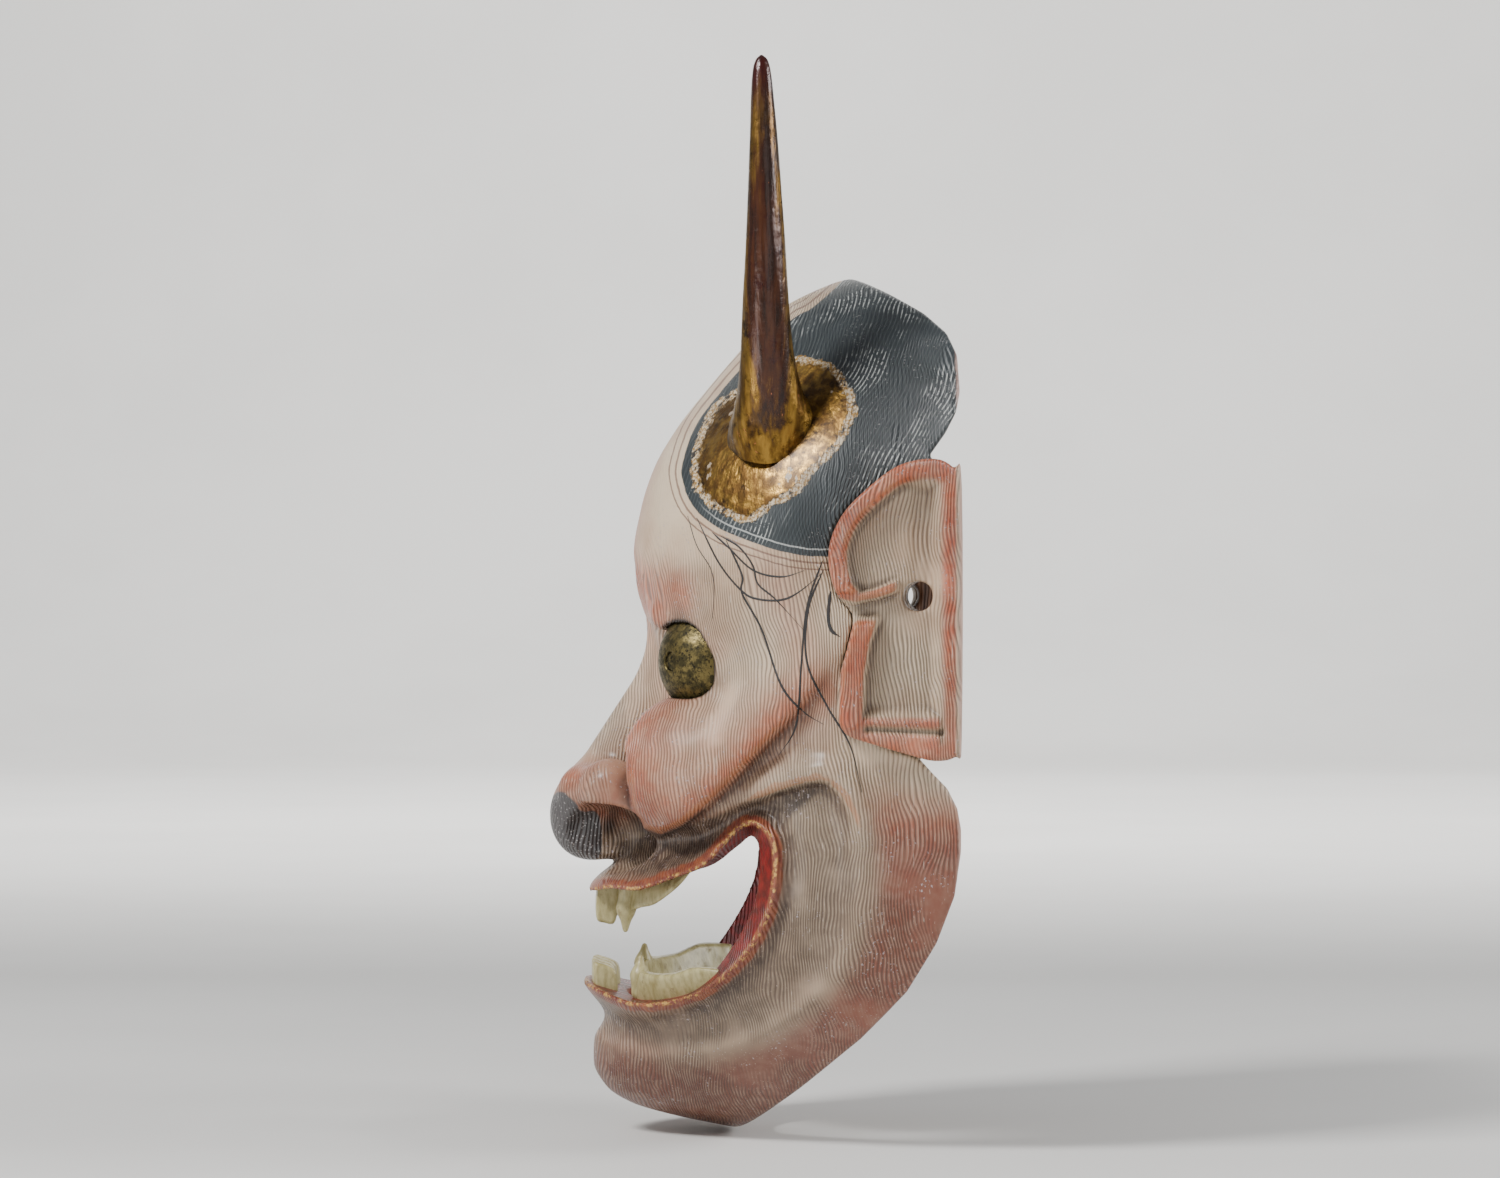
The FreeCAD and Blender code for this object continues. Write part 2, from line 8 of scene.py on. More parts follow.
import bpy
import numpy as np
import openvdb as vdb
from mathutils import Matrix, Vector


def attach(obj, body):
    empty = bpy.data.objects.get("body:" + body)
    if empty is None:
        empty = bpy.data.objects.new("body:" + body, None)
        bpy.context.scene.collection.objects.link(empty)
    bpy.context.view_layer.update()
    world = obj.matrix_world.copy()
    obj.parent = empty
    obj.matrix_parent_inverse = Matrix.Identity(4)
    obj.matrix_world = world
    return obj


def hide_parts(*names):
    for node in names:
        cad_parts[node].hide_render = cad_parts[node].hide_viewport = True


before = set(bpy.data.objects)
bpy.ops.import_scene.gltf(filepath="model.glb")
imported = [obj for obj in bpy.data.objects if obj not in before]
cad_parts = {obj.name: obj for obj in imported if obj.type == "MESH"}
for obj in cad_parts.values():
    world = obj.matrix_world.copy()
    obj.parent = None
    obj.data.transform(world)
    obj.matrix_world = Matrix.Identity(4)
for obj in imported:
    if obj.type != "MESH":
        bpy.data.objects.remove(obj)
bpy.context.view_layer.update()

MM = 0.001
MASK_STEP, EAR_STEP = 0.72, 0.45
WALL = 8.0
# the inner side of the mask, this deep in the wood, keeps this share of its faces
INNER_DEPTH, INNER_SHARE = 4.0, 0.12
EYE_CENTRE = (31.0, -58.0, -17.5)
EYE_AXIS = (0.6, -0.8, 0.0)
EYE_RADIUS = 14.5
EYE_SEAT_RADIUS = 12.3
EYE_METAL = 1.2
EYE_TAIL = 2.0
PUPIL_RADIUS = 2.5
TACK_ANGLES = (80, 180, 280)
TACK_LENGTH, TACK_RADIUS = 4.5, 0.75
EAR_SEAT = 65.5
EAR_FLOOR = 68.6
CORD_HOLE = (69.0, -10.6, -1.7)
CORD_SLANT = 0.25
CORD_HOLE_RADIUS = 3.5
CORD_HOLE_END = 55.0
DOWEL_SPOTS = ((-20.0, 23.0), (-20.0, -33.0))
DOWEL_REACH = 2.4
PIN_RADIUS = 1.45
PEG_INNER, PEG_OUTER, PEG_LENGTH = (44.5, -38.5, 35.6), (52, -46, 41), 7.0

DEPTH = [
    (-139, 20), (-135, 50), (-133.5, 58), (-131, 70), (-128, 80), (-124, 86), (-118, 89),
    (-108, 88), (-86, 88), (-74, 86.5), (-64, 81), (-50, 75), (-34, 72.5), (-16, 73), (0, 77),
    (9, 79), (20, 77.2), (30, 74), (40, 68.3), (50, 60.5), (60, 52), (68, 45), (77, 27.5), (82, 6),
]
WIDTH = [
    (-139, 8), (-134, 19), (-129, 27), (-122, 36), (-112, 46), (-100, 56), (-86, 62), (-70, 65),
    (-50, 66), (-30, 68), (-10, 70), (10, 70), (28, 66.5), (44, 60), (58, 51), (68, 40), (76, 26),
    (82, 6),
]
POWER = [(-139, 2.0), (-115, 2.0), (-90, 2.35), (-40, 2.3), (20, 2.3), (50, 2.1), (82, 2.0)]

MOUTH_EDGE = [
    (-120, -79), (-98, -78), (-89, -74.8), (-84, -73.2), (-77, -73), (-69, -70), (-61, -66.5),
    (-55.5, -60.5), (-50.5, -56.4), (-46, -58.5), (-44.4, -65), (-45.8, -76), (-50.7, -86),
    (-58.8, -94.4), (-67, -98.8), (-77, -100.6), (-85, -98.8), (-91, -97), (-100, -95),
    (-120, -95),
]
SMILE_FOLD = [
    (-110, -106), (-92, -108.5), (-84.5, -111.6), (-73.5, -113.2), (-60, -111.3), (-48.7, -106.9),
    (-38, -99), (-30.1, -90), (-25.3, -79), (-23.6, -67.4), (-25.5, -54.2), (-31.3, -46),
    (-40.4, -47), (-52.4, -51.8), (-64.6, -57), (-75, -61), (-90, -64), (-110, -64),
]
CHEEK_EDGE = [
    (-79.5, -48), (-79, -54), (-76, -58.6), (-71.5, -59.6), (-66.5, -57), (-60, -51.5),
    (-53, -44.5), (-45.5, -36), (-38, -28), (-31.5, -19), (-27, -10),
]
REAR_EDGE = [
    (-200, 79), (-25, 77.5), (-16, 72), (-8, 66.7), (-2.7, 61.5), (-0.4, 56), (0, 47), (-1, 42),
    (-3.6, 37), (-7.5, 31.5), (-4, 28), (0, 23), (0, -34), (-5, -37.5), (-10, -40), (-6.8, -43.6),
    (-3.3, -47.2), (-0.9, -52), (0, -57), (0, -62), (-1.5, -72.7), (-5.7, -84.1), (-12.6, -96),
    (-23.4, -108.2), (-37.6, -121.4), (-51.2, -133), (-56, -137), (-200, -137),
]
# dark front of the nose between the nostrils, seen from the side
SEPTUM_EDGE = [
    (-99.6, -52), (-96.5, -50.3), (-93.6, -52.4), (-91.5, -55.2), (-88.2, -55.4), (-86.9, -60),
    (-87.5, -66.5), (-93, -68.5), (-98.5, -63.5), (-101, -57),
]
# lower edge of the cheek, over the deep shadow above the mouth
SHELF = SMILE_FOLD[11:16]
EAR_EDGE = [
    (0, 24), (-2.1, 28.7), (-6.8, 30.8), (-15, 29.2), (-22.4, 23.8), (-28.5, 17.3), (-31.6, 9),
    (-30.2, -0.2), (-26, -6), (-26.7, -12), (-29, -21), (-29.5, -28.3), (-27.8, -34), (-22, -36.4),
    (-13.8, -38.8), (-6.8, -40.6), (-1.5, -39.6), (0, -35),
]
HAIR_EDGE = [
    (-25, 79), (-34, 69.5), (-39, 66.6), (-46, 60.5), (-52.4, 53.9), (-57.8, 47.5), (-63.1, 40.3),
    (-66, 32.3), (-66.5, 27), (-63.8, 20), (-57.7, 14.7), (-48.9, 11), (-40.3, 8.4), (-31.8, 7.6),
    (-20, 8), (20, 8), (20, 100), (-10, 100),
]
GILT_EDGE = [
    (-52.4, 49.2), (-57.2, 46.7), (-60.4, 42.9), (-62.6, 38), (-64.2, 30), (-63.2, 23.6),
    (-59.4, 19.7), (-54.6, 17.1), (-50, 16.1), (-44.3, 19.4), (-38.9, 22.6), (-34.7, 27.4),
    (-30.6, 31.6), (-26.7, 37), (-24.7, 42.9), (-26, 47.7), (-28.9, 52.8), (-33.1, 55.3),
    (-38.5, 56.3), (-46, 54),
]

UPPER_ROW = [
    (-80, -70), (-80, -78.6), (-76.4, -77.8), (-73.3, -76.8), (-69.8, -74.2), (-66.6, -71.3),
    (-64, -68), (-62.5, -66), (-66, -66), (-72, -69),
]
LOWER_ROW = [
    (-77, -103), (-77, -94.3), (-73.6, -94), (-68.9, -93.5), (-65.7, -92.3), (-62.5, -91.4),
    (-55.5, -91.8), (-54.8, -92.6), (-56, -97), (-63, -101),
]
UPPER_INCISORS = [(-88.6, -72), (-88.3, -81), (-86.2, -82.6), (-83, -82), (-82, -72)]
LOWER_INCISORS = [
    (-89.8, -92), (-87.5, -92.5), (-84.5, -93.5), (-82.5, -95.5), (-83, -101), (-89, -100),
]
# how deep each layer of teeth starts and ends below the plain block
MOLAR_LAYER, INCISOR_LAYER = (4.1, 9.4), (-1.7, 4.4)
INCISOR_GAPS, INCISOR_HALF_WIDTH = (-7, 0, 7), 12.8
FANG_RADIUS, FANG_TIP, FANG_BEND = 2.6, 0.75, (0.2, -0.3, 0)

# centre line of the left horn as x, y, z, then its radius
HORN_PATH = [
    (47.2, -43.9, 37.4, 11.8), (49.8, -44.5, 40.6, 10.6), (52.0, -45.0, 43.8, 9.0),
    (54.3, -45.4, 48.6, 7.5), (57.0, -45.9, 58.0, 6.2), (59.5, -46.2, 72.0, 5.3),
    (60.7, -46.4, 86.0, 4.5), (61.0, -46.7, 102.0, 3.6), (60.7, -47.0, 114.0, 2.9),
    (60.0, -47.2, 122.0, 2.3), (59.7, -47.25, 125.5, 1.5), (59.5, -47.3, 126.9, 0.3),
]

# orange rubbed along a line: start, end, width, strength
BLUSH = [
    ((0, -79, 24), (0, -77, -4), 11, 0.85), ((10, -77, -3), (30, -72, -6), 4.5, 0.95),
    ((12, -78, 3), (40, -66, -1), 6, 0.9), ((30, -72, -6), (46, -55, -14), 3, 0.6),
    ((34, -77, -34), (37, -74, -48), 20, 1.0), ((46, -60, -44), (63, -34, -24), 7, 0.8),
    ((0, -99, -46), (13, -92, -46), 6.5, 1.0), ((14, -86, -46), (20, -77, -53), 4.5, 0.7),
    ((0, -86, -120), (24, -78, -122), 11, 0.9), ((58, -44, 2), (62, -38, -12), 6, 0.3),
]

# painted strands of hair: width, then points on the skin as y, z
STRANDS = [
    (0.55, [(-62.8, 17.1), (-57.4, 6.2), (-51.9, -0.5), (-48.1, -2.4), (-42.6, -2.6),
            (-38.4, -0.7), (-32.7, 4)]),
    (0.5, [(-59, 13.5), (-55.2, 10), (-49.3, 4.5), (-42.6, 2.9), (-36.7, 4.5)]),
    (0.5, [(-56.9, 12.6), (-52.6, 10), (-49.3, 5.5), (-48.1, 1.2), (-43.8, -2.6), (-36.9, -10.2)]),
    (0.6, [(-55.7, 11.6), (-51.9, 3.3), (-51.9, -1), (-47.2, -9.7), (-42.6, -22.8),
           (-37.2, -29.2), (-32.2, -32.3)]),
    (0.55, [(-32.9, 6.7), (-36.5, -4.3), (-37.9, -18.5), (-39.1, -32.5), (-43.4, -40.1)]),
    (0.55, [(-32.7, 4.5), (-36.2, -4.8), (-36.5, -17.3), (-31.7, -27.8), (-26.3, -37.1),
            (-23.4, -48.9)]),
    (0.9, [(-31, -0.5), (-31.5, -6.4), (-30.8, -9.7), (-28.6, -11.4)]),
    (0.3, [(-65, 17.6), (-62.8, 10.5), (-59.5, 5), (-58.6, 0), (-59, -7.6)]),
]


# ---- fields ----

class Curve:
    """Smooth monotone curve through (position, value) pairs, flat beyond its ends."""
    SAMPLES = 500

    def __init__(self, points):
        at, value = np.array(sorted(points), float).T
        span = np.diff(value) / np.diff(at)
        slope = np.concatenate([span[:1], np.zeros(len(at) - 2), span[-1:]])
        same = span[:-1] * span[1:] > 0
        total = np.where(same, span[:-1] + span[1:], 1.0)
        slope[1:-1] = np.where(same, 2 * span[:-1] * span[1:] / total, 0.0)
        self.at = np.linspace(at[0], at[-1], self.SAMPLES)
        i = np.clip(np.searchsorted(at, self.at) - 1, 0, len(at) - 2)
        wide = at[i + 1] - at[i]
        u = (self.at - at[i]) / wide
        self.value = (value[i] * (1 + 2 * u) * (1 - u) ** 2 + slope[i] * wide * u * (1 - u) ** 2
                      + value[i + 1] * u * u * (3 - 2 * u)
                      + slope[i + 1] * wide * u * u * (u - 1))
        self.change = np.gradient(self.value, self.at)

    def __call__(self, at):
        return np.interp(at, self.at, self.value)

    def slope(self, at):
        return np.interp(at, self.at, self.change)


def rounded(points, steps=4, closed=True):
    """Catmull-Rom curve through the points."""
    points = np.array(points, float)
    if closed:
        before, after, last = (np.roll(points, shift, 0) for shift in (1, -1, -2))
    else:
        padded = np.vstack([2 * points[0] - points[1], points, 2 * points[-1] - points[-2]])
        before, points, after, last = padded[:-3], padded[1:-2], padded[2:-1], padded[3:]
    u = (np.arange(steps) / steps)[None, :, None]
    a, b, c, d = (p[:, None, :] for p in (before, points, after, last))
    curve = 0.5 * (2 * b + (c - a) * u + (2 * a - 5 * b + 4 * c - d) * u ** 2
                   + (3 * b - a - 3 * c + d) * u ** 3)
    return curve.reshape(-1, points.shape[1])


def onto(y, z, start, end):
    """The nearest place on a straight line: how far along it, and the gaps in y and z."""
    ey, ez = end[0] - start[0], end[1] - start[1]
    t = np.clip(((y - start[0]) * ey + (z - start[1]) * ez) / (ey * ey + ez * ez), 0, 1)
    return t, y - start[0] - t * ey, z - start[1] - t * ez


def outline_distance(outline, y, z):
    """Distance to a closed outline in the y, z plane, negative inside it."""
    nearest = np.full(np.broadcast(y, z).shape, 1e9, np.float32)
    inside = np.zeros(nearest.shape, bool)
    for (ay, az), (by, bz) in zip(outline, np.roll(outline, -1, 0)):
        _, gap_y, gap_z = onto(y, z, (ay, az), (by, bz))
        nearest = np.minimum(nearest, gap_y ** 2 + gap_z ** 2)
        if az != bz:
            inside ^= ((az > z) != (bz > z)) & (y < (by - ay) * (z - az) / (bz - az) + ay)
    nearest = np.sqrt(nearest)
    return np.where(inside, -nearest, nearest)


def edge_distance(line, y, z):
    """Signed distance to an open line (left of its travel is positive) and how far along."""
    nearest = np.full(np.broadcast(y, z).shape, 1e9, np.float32)
    side, along = np.zeros_like(nearest), np.zeros_like(nearest)
    for index, ((ay, az), (by, bz)) in enumerate(zip(line, line[1:])):
        t, gap_y, gap_z = onto(y, z, (ay, az), (by, bz))
        gap = gap_y ** 2 + gap_z ** 2
        closer = gap < nearest
        nearest = np.where(closer, gap, nearest)
        side = np.where(closer, np.sign((by - ay) * (z - az) - (bz - az) * (y - ay)), side)
        along = np.where(closer, (index + t) / (len(line) - 1), along)
    return np.sqrt(nearest) * side, along


def line_distance(y, z, start, end):
    """Distance to a straight line in the y, z plane."""
    return np.hypot(*onto(y, z, start, end)[1:])


def line_distances(y, z, points):
    """Distance to a run of straight lines."""
    return np.minimum.reduce([line_distance(y, z, a, b) for a, b in zip(points, points[1:])])


def blend_in(a, b, radius):
    """Union of two fields with a soft joint."""
    h = np.clip(0.5 + 0.5 * (b - a) / radius, 0, 1)
    return b + (a - b) * h - radius * h * (1 - h)


def blend_out(a, b, radius):
    """Overlap of two fields with a soft edge."""
    return -blend_in(-a, -b, radius)


def ramp(value, low, high):
    """0 at low, 1 at high, smooth between."""
    u = np.clip((value - low) / (high - low), 0, 1)
    return u * u * (3 - 2 * u)


def bell(value, width):
    """1 at zero, falling off on both sides."""
    return np.exp(-(value / width) ** 2)


def egg(x, y, z, centre, radii):
    """Nearly the distance to an ellipsoid, negative inside it."""
    a, b, c = ((p - q) / r for p, q, r in zip((x, y, z), centre, radii))
    size = np.sqrt(a * a + b * b + c * c) + 1e-6
    slope = np.sqrt((a / radii[0]) ** 2 + (b / radii[1]) ** 2 + (c / radii[2]) ** 2) + 1e-6
    return size * (size - 1) / slope


def stick(x, y, z, start, start_radius, end, end_radius):
    """Distance to a tapered rod with round ends, negative inside it."""
    dx, dy, dz = (b - a for a, b in zip(start, end))
    px, py, pz = x - start[0], y - start[1], z - start[2]
    t = np.clip((px * dx + py * dy + pz * dz) / (dx * dx + dy * dy + dz * dz), 0, 1)
    gap = np.sqrt((px - t * dx) ** 2 + (py - t * dy) ** 2 + (pz - t * dz) ** 2)
    return gap - (start_radius + (end_radius - start_radius) * t)


def limb(x, y, z, soft, first, middle, last):
    """Two rods joined softly, through three knots of centre and radius."""
    return blend_in(stick(x, y, z, *first, *middle), stick(x, y, z, *middle, *last), soft)


def near_line(x, y, z, start, end, width):
    """1 on a line in space, falling off round it."""
    return bell(stick(x, y, z, start, 0, end, 0), width)


depth_at, width_at, power_at = Curve(DEPTH), Curve(WIDTH), Curve(POWER)
MOUTH = rounded(MOUTH_EDGE)
FOLD = rounded(SMILE_FOLD)
EAR = rounded(EAR_EDGE)
HAIR = rounded(HAIR_EDGE)
GILT = rounded(GILT_EDGE)
SEPTUM = rounded(SEPTUM_EDGE)


def side_maps(y, z):
    """Distances in the y, z plane that the skin and its paint are made from."""
    cheek, along = edge_distance(CHEEK_EDGE, y, z)
    return {"mouth": outline_distance(MOUTH, y, z), "fold": outline_distance(FOLD, y, z),
            "rear": outline_distance(np.array(REAR_EDGE, float), y, z),
            "ear": outline_distance(EAR, y, z), "cheek": cheek, "cheek_along": along}


def face_block(x, y, z):
    """The plain rounded block before the features are carved: negative inside."""
    width, depth, power = width_at(z), depth_at(z), power_at(z)
    front = np.maximum(-y, 0)
    side_part, front_part = (np.abs(x) / width) ** power, (front / depth) ** power
    total = side_part + front_part + 1e-9
    size = total ** (1 / power)
    radius = np.sqrt(x * x + front * front)
    share = side_part / total
    slope = radius / size * (share * width_at.slope(z) / width
                             + (1 - share) * depth_at.slope(z) / depth)
    return (radius - radius / size) / np.sqrt(1 + slope * slope)


def face_skin(x, y, z, side):
    """The carved outer skin of the mask: negative inside."""
    x = np.abs(x)
    outside = np.maximum(side["mouth"], 0)
    fold, front, crisp = side["fold"], ramp(-y, 50, 84), ramp(z, -66, -54)
    skin = face_block(x, y, z)
    plate = ramp(-fold, 1.6 * crisp - 2.2, 6.1 - 4.5 * crisp)
    skin = skin + (2.6 + 0.6 * crisp) * plate * ramp(-y, 16, 32)
    skin = skin - (0.5 + 2.3 * crisp) * bell(fold - 2.4, 3.6) * ramp(-y, 14, 28)
    skin = skin - (2.6 + 3.8 * front) * bell(outside, 2.2 + 2.6 * front)
    skin = skin + 0.9 * bell(outside - 4.2, 2.2) * (1 - front)
    brow = limb(x, y, z, 4, ((9, -69.8, 1), 7), ((31, -62, -1.5), 7.6), ((50, -46, -5), 5))
    skin = blend_in(skin, brow, 6)
    skin = blend_out(skin, -egg(x, y, z, (31, -74, -19), (18, 11.5, 11)), 3)
    lid = limb(x, y, z, 1.5, ((10, -72.5, -5), 2.6), ((28, -70.5, -6.4), 3.2),
               ((45, -56.5, -13), 2.6))
    skin = blend_in(skin, lid, 3)
    cheek = blend_in(egg(x, y, z, (34, -63, -42.5), (16, 18, 17.5)),
                     stick(x, y, z, (42, -57, -44), 12.5, (60, -27, -11), 7), 10)
    skin = blend_in(skin, cheek, 4)
    near = bell(side["cheek"], 9) * ramp(-y, 22, 36) * ramp(1 - side["cheek_along"], 0, 0.35)
    skin = skin + near * (2.2 * ramp(-side["cheek"], -0.6, 1.2)
                          - 1.4 * ramp(side["cheek"], -0.6, 2))
    nose = limb(x, y, z, 5, ((0, -67, -4), 8), ((0, -67.3, -19), 8), ((0, -84.5, -51), 11))
    nose = blend_in(nose, egg(x, y, z, (0, -87, -55.5), (12, 12.9, 12)), 4)
    wing = limb(x, y, z, 3, ((7, -92, -49.5), 5.2), ((15.5, -84.5, -49), 6.5),
                ((18.5, -76.5, -55.5), 6))
    skin = blend_in(skin, blend_in(nose, wing, 3.5), 4)
    skin = blend_out(skin, -egg(x, y, z, (17, -85.5, -61.5), (13, 14.5, 9)), 1.2)
    skin = blend_in(skin, egg(x, y, z, (0, -90.5, -58), (7, 9, 9.5)), 1.5)
    return skin + 1.5 * bell(x - 7.5, 2.2) * bell(z - 2, 7) * ramp(-y, 55, 65)


def eye_space(x, y, z, grow):
    """Room of the eye cap, open to the back."""
    dx, dy, dz = x - EYE_CENTRE[0], y - EYE_CENTRE[1], z - EYE_CENTRE[2]
    ahead = dx * EYE_AXIS[0] + dy * EYE_AXIS[1]
    square = dx * dx + dy * dy + dz * dz
    round_axis = np.sqrt(np.maximum(square - ahead * ahead, 0)) - EYE_SEAT_RADIUS - grow
    ball = np.sqrt(square) - EYE_RADIUS - grow
    return np.where(ahead > 0, np.maximum(ball, round_axis), round_axis)


def mask_field(x, y, z, side, skin):
    """The finished face block: skin, hollow, mouth, eye holes, nostrils and ear seats."""
    x = np.abs(x)
    boss = 4 * bell(x - EYE_CENTRE[0], 14) * bell(z - EYE_CENTRE[2], 14)
    field = blend_out(skin, -(face_block(x, y, z) + WALL + boss), 1.5)
    bevel = 0.55 * np.clip(-skin - 1, 0, 8) * ramp(y, -66, -50)
    seat = np.maximum(side["ear"] - 0.15, EAR_SEAT - 0.05 - x)
    for other, soft in ((side["rear"], 1.5), (-side["mouth"] - bevel, 1.3),
                        (-eye_space(x, y, z, 0.25), 0.6),
                        (-stick(x, y, z, (12, -88, -61), 4.2, (11, -60, -56), 4.2), 0.8),
                        (-seat, 0.3), (-egg(x, y, z, (13.5, -84, -61.5), (6.5, 4.6, 6)), 0.8),
                        (-cord_space(x, y, z), 0.5)):
        field = blend_out(field, other, soft)
    return field


def cord_space(x, y, z):
    """Round hole for the cord, slanting back as it goes in."""
    across = (y - CORD_HOLE[1]) + (x - CORD_HOLE[0]) * CORD_SLANT
    cord = np.hypot(across / math.hypot(1, CORD_SLANT), z - CORD_HOLE[2]) - CORD_HOLE_RADIUS
    return np.maximum(cord, CORD_HOLE_END - x)


# ---- meshing ----

def surface_of(field, low, step):
    """Points and faces of a sampled field's zero surface, in millimetres."""
    band = 3 * step
    grid = vdb.FloatGrid(band)
    grid.gridClass = vdb.GridClass.LEVEL_SET
    grid.transform = vdb.createLinearTransform(voxelSize=step)
    grid.copyFromArray(np.clip(field, -band, band).astype(np.float32))
    points, quads = grid.convertToQuads()
    return points + np.array(low), quads[:, ::-1]


def axes(low, high, step):
    """Three grid axes shaped so that they combine into a volume."""
    x, y, z = (np.arange(a, b, step, dtype=np.float32) for a, b in zip(low, high))
    return x[:, None, None], y[None, :, None], z[None, None, :]


def placed(name, data):
    """New object in the scene."""
    item = bpy.data.objects.new(name, data)
    bpy.context.scene.collection.objects.link(item)
    return item


def mesh_piece(name, points, faces, slot, material, has_node=True):
    """Object from points in millimetres, riding on the mask and standing for its node."""
    mesh = bpy.data.meshes.new(name)
    mesh.from_pydata((np.asarray(points, float) * MM).tolist(), [],
                     [list(map(int, face)) for face in faces])
    mesh.validate()
    mesh.polygons.foreach_set("use_smooth", [True] * len(mesh.polygons))
    piece = placed(name, mesh)
    mesh.materials.append(material)
    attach(piece, "root")
    if has_node:
        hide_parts(name)
    return piece


def both_sides(name, points, faces, slot, material, has_node=True, paint=None):
    """The left piece and its mirror image."""
    points = np.asarray(points, float)
    for side, sign in (("left", 1), ("right", -1)):
        piece = mesh_piece(side + "_" + name, points * (sign, 1, 1),
                           [face[::sign] for face in faces], slot, material, has_node)
        for key, values in (paint or {}).items():
            store(piece.data, key, values)


def store(mesh, name, values):
    """One number for each vertex, for the paint to read."""
    layer = mesh.attributes.new(name, "FLOAT", "POINT")
    layer.data.foreach_set("value", np.asarray(values, np.float32))


def sampled(volume, low, step, points):
    """Trilinear reading of a volume at some points."""
    place = (np.asarray(points) - np.array(low)) / step
    corner = np.clip(np.floor(place).astype(int), 0, np.array(volume.shape) - 2)
    part = np.clip(place - corner, 0, 1)
    total = 0
    for shift in np.ndindex(2, 2, 2):
        weight = np.prod(np.abs(1 - np.array(shift) - part), axis=1)
        total = total + weight * volume[tuple((corner + shift).T)]
    return total


def roundness(volume, reach):
    """How convex a field is at each grid point: positive on ridges, negative in grooves."""
    padded = np.pad(volume, reach, mode="edge")
    middle = slice(reach, -reach)
    total = 0
    for axis in range(3):
        for shift in (0, 2 * reach):
            window = [middle] * 3
            window[axis] = slice(shift, padded.shape[axis] - 2 * reach + shift)
            total = total + padded[tuple(window)]
    return total / 6 - volume


def blush_at(x, y, z, side):
    """Where the orange is rubbed over the white: brow, cheek, nose, lips, jaw and chin."""
    x = np.abs(x)
    bare = 1.0
    for start, end, width, strength in BLUSH:
        bare = bare * (1 - strength * near_line(x, y, z, start, end, width))
    jaw = 0.95 * ramp(side["fold"], 0.5, 8) * ramp(-z, 44, 58)
    lips = 0.6 * bell(side["mouth"] - 1, 2.6)
    edge = 0.9 * bell(side["cheek"] - 2, 3.5) * ramp(-y, 30, 50) * ramp(side["cheek"], -0.6, 0.4)
    return 1 - bare * (1 - jaw) * (1 - lips) * (1 - edge)


def shade_at(x, y, z, side):
    """Painted shade: the hollows under the cheek and round the lips, brow and nose, darkened where
    shade falls.
    """
    x = np.abs(x)
    # painted shadow under the overhanging lower edge of the cheek
    below = line_distances(y, z, SHELF)
    width = 1 + 7 * ramp(-y, 31, 44)
    shelf = ramp(below - width, 1.5, -0.8) * ramp(-side["fold"], -0.6, 0.8) * ramp(-y, 29, 33)
    plate = 0.42 * ramp(-side["fold"], 0, 3) * ramp(side["mouth"], 2, 4)
    groove = 0.6 * bell(side["mouth"] - 4.3, 1.7) * ramp(y, -72, -56)
    under = 0.6 * bell(side["mouth"] - 5, 3) * ramp(-z, 84, 96)
    below_cheek = 0.75 * bell(side["cheek"] + 1.6, 1.5) * ramp(-y, 28, 40)
    band = 0.3 * ramp(-side["cheek"], 0, 2) * ramp(side["fold"], 0, 2) * ramp(-y, 28, 40)
    crease = 0.85 * np.maximum(near_line(x, y, z, (19, -74, -28), (19.5, -77, -38), 3.2),
                               near_line(x, y, z, (19.5, -77, -38), (22, -78, -52), 2.4))
    socket = 0.75 * near_line(x, y, z, (38, -66, -8), (45, -57, -22), 4)
    behind_wing = 0.5 * near_line(x, y, z, (22, -76, -56), (24, -74, -64), 4)
    light = 1.0
    for part in (0.95 * shelf, plate, groove, under, below_cheek, band, crease, socket,
                 behind_wing):
        light = light * (1 - np.clip(part, 0, 1))
    return 1 - light


def lines_and_shadow_at(x, y, z, side):
    """Thin black lines round the eye, and painted shadow: a dark line under the overhanging cheek
    edge and black in the nostril hole.
    """
    eye = np.abs(eye_space(np.abs(x), y, z, 0.6))
    cheek = np.abs(side["cheek"] + 0.5) + 9 * ramp(y, -62, -50)
    nostril_shadow = egg(np.abs(x), y, z, (14, -84, -60), (9, 4.8, 6.6))
    return np.maximum.reduce([0.95 * ramp(eye, 1.0, 0.4), 0.7 * ramp(cheek, 0.7, 0.1),
                              0.92 * ramp(nostril_shadow, 0.7, -0.5)])


def left_half(points):
    """The points, with those on the right side moved to their mirror place."""
    return np.column_stack([np.abs(points[:, 0]), points[:, 1:]])


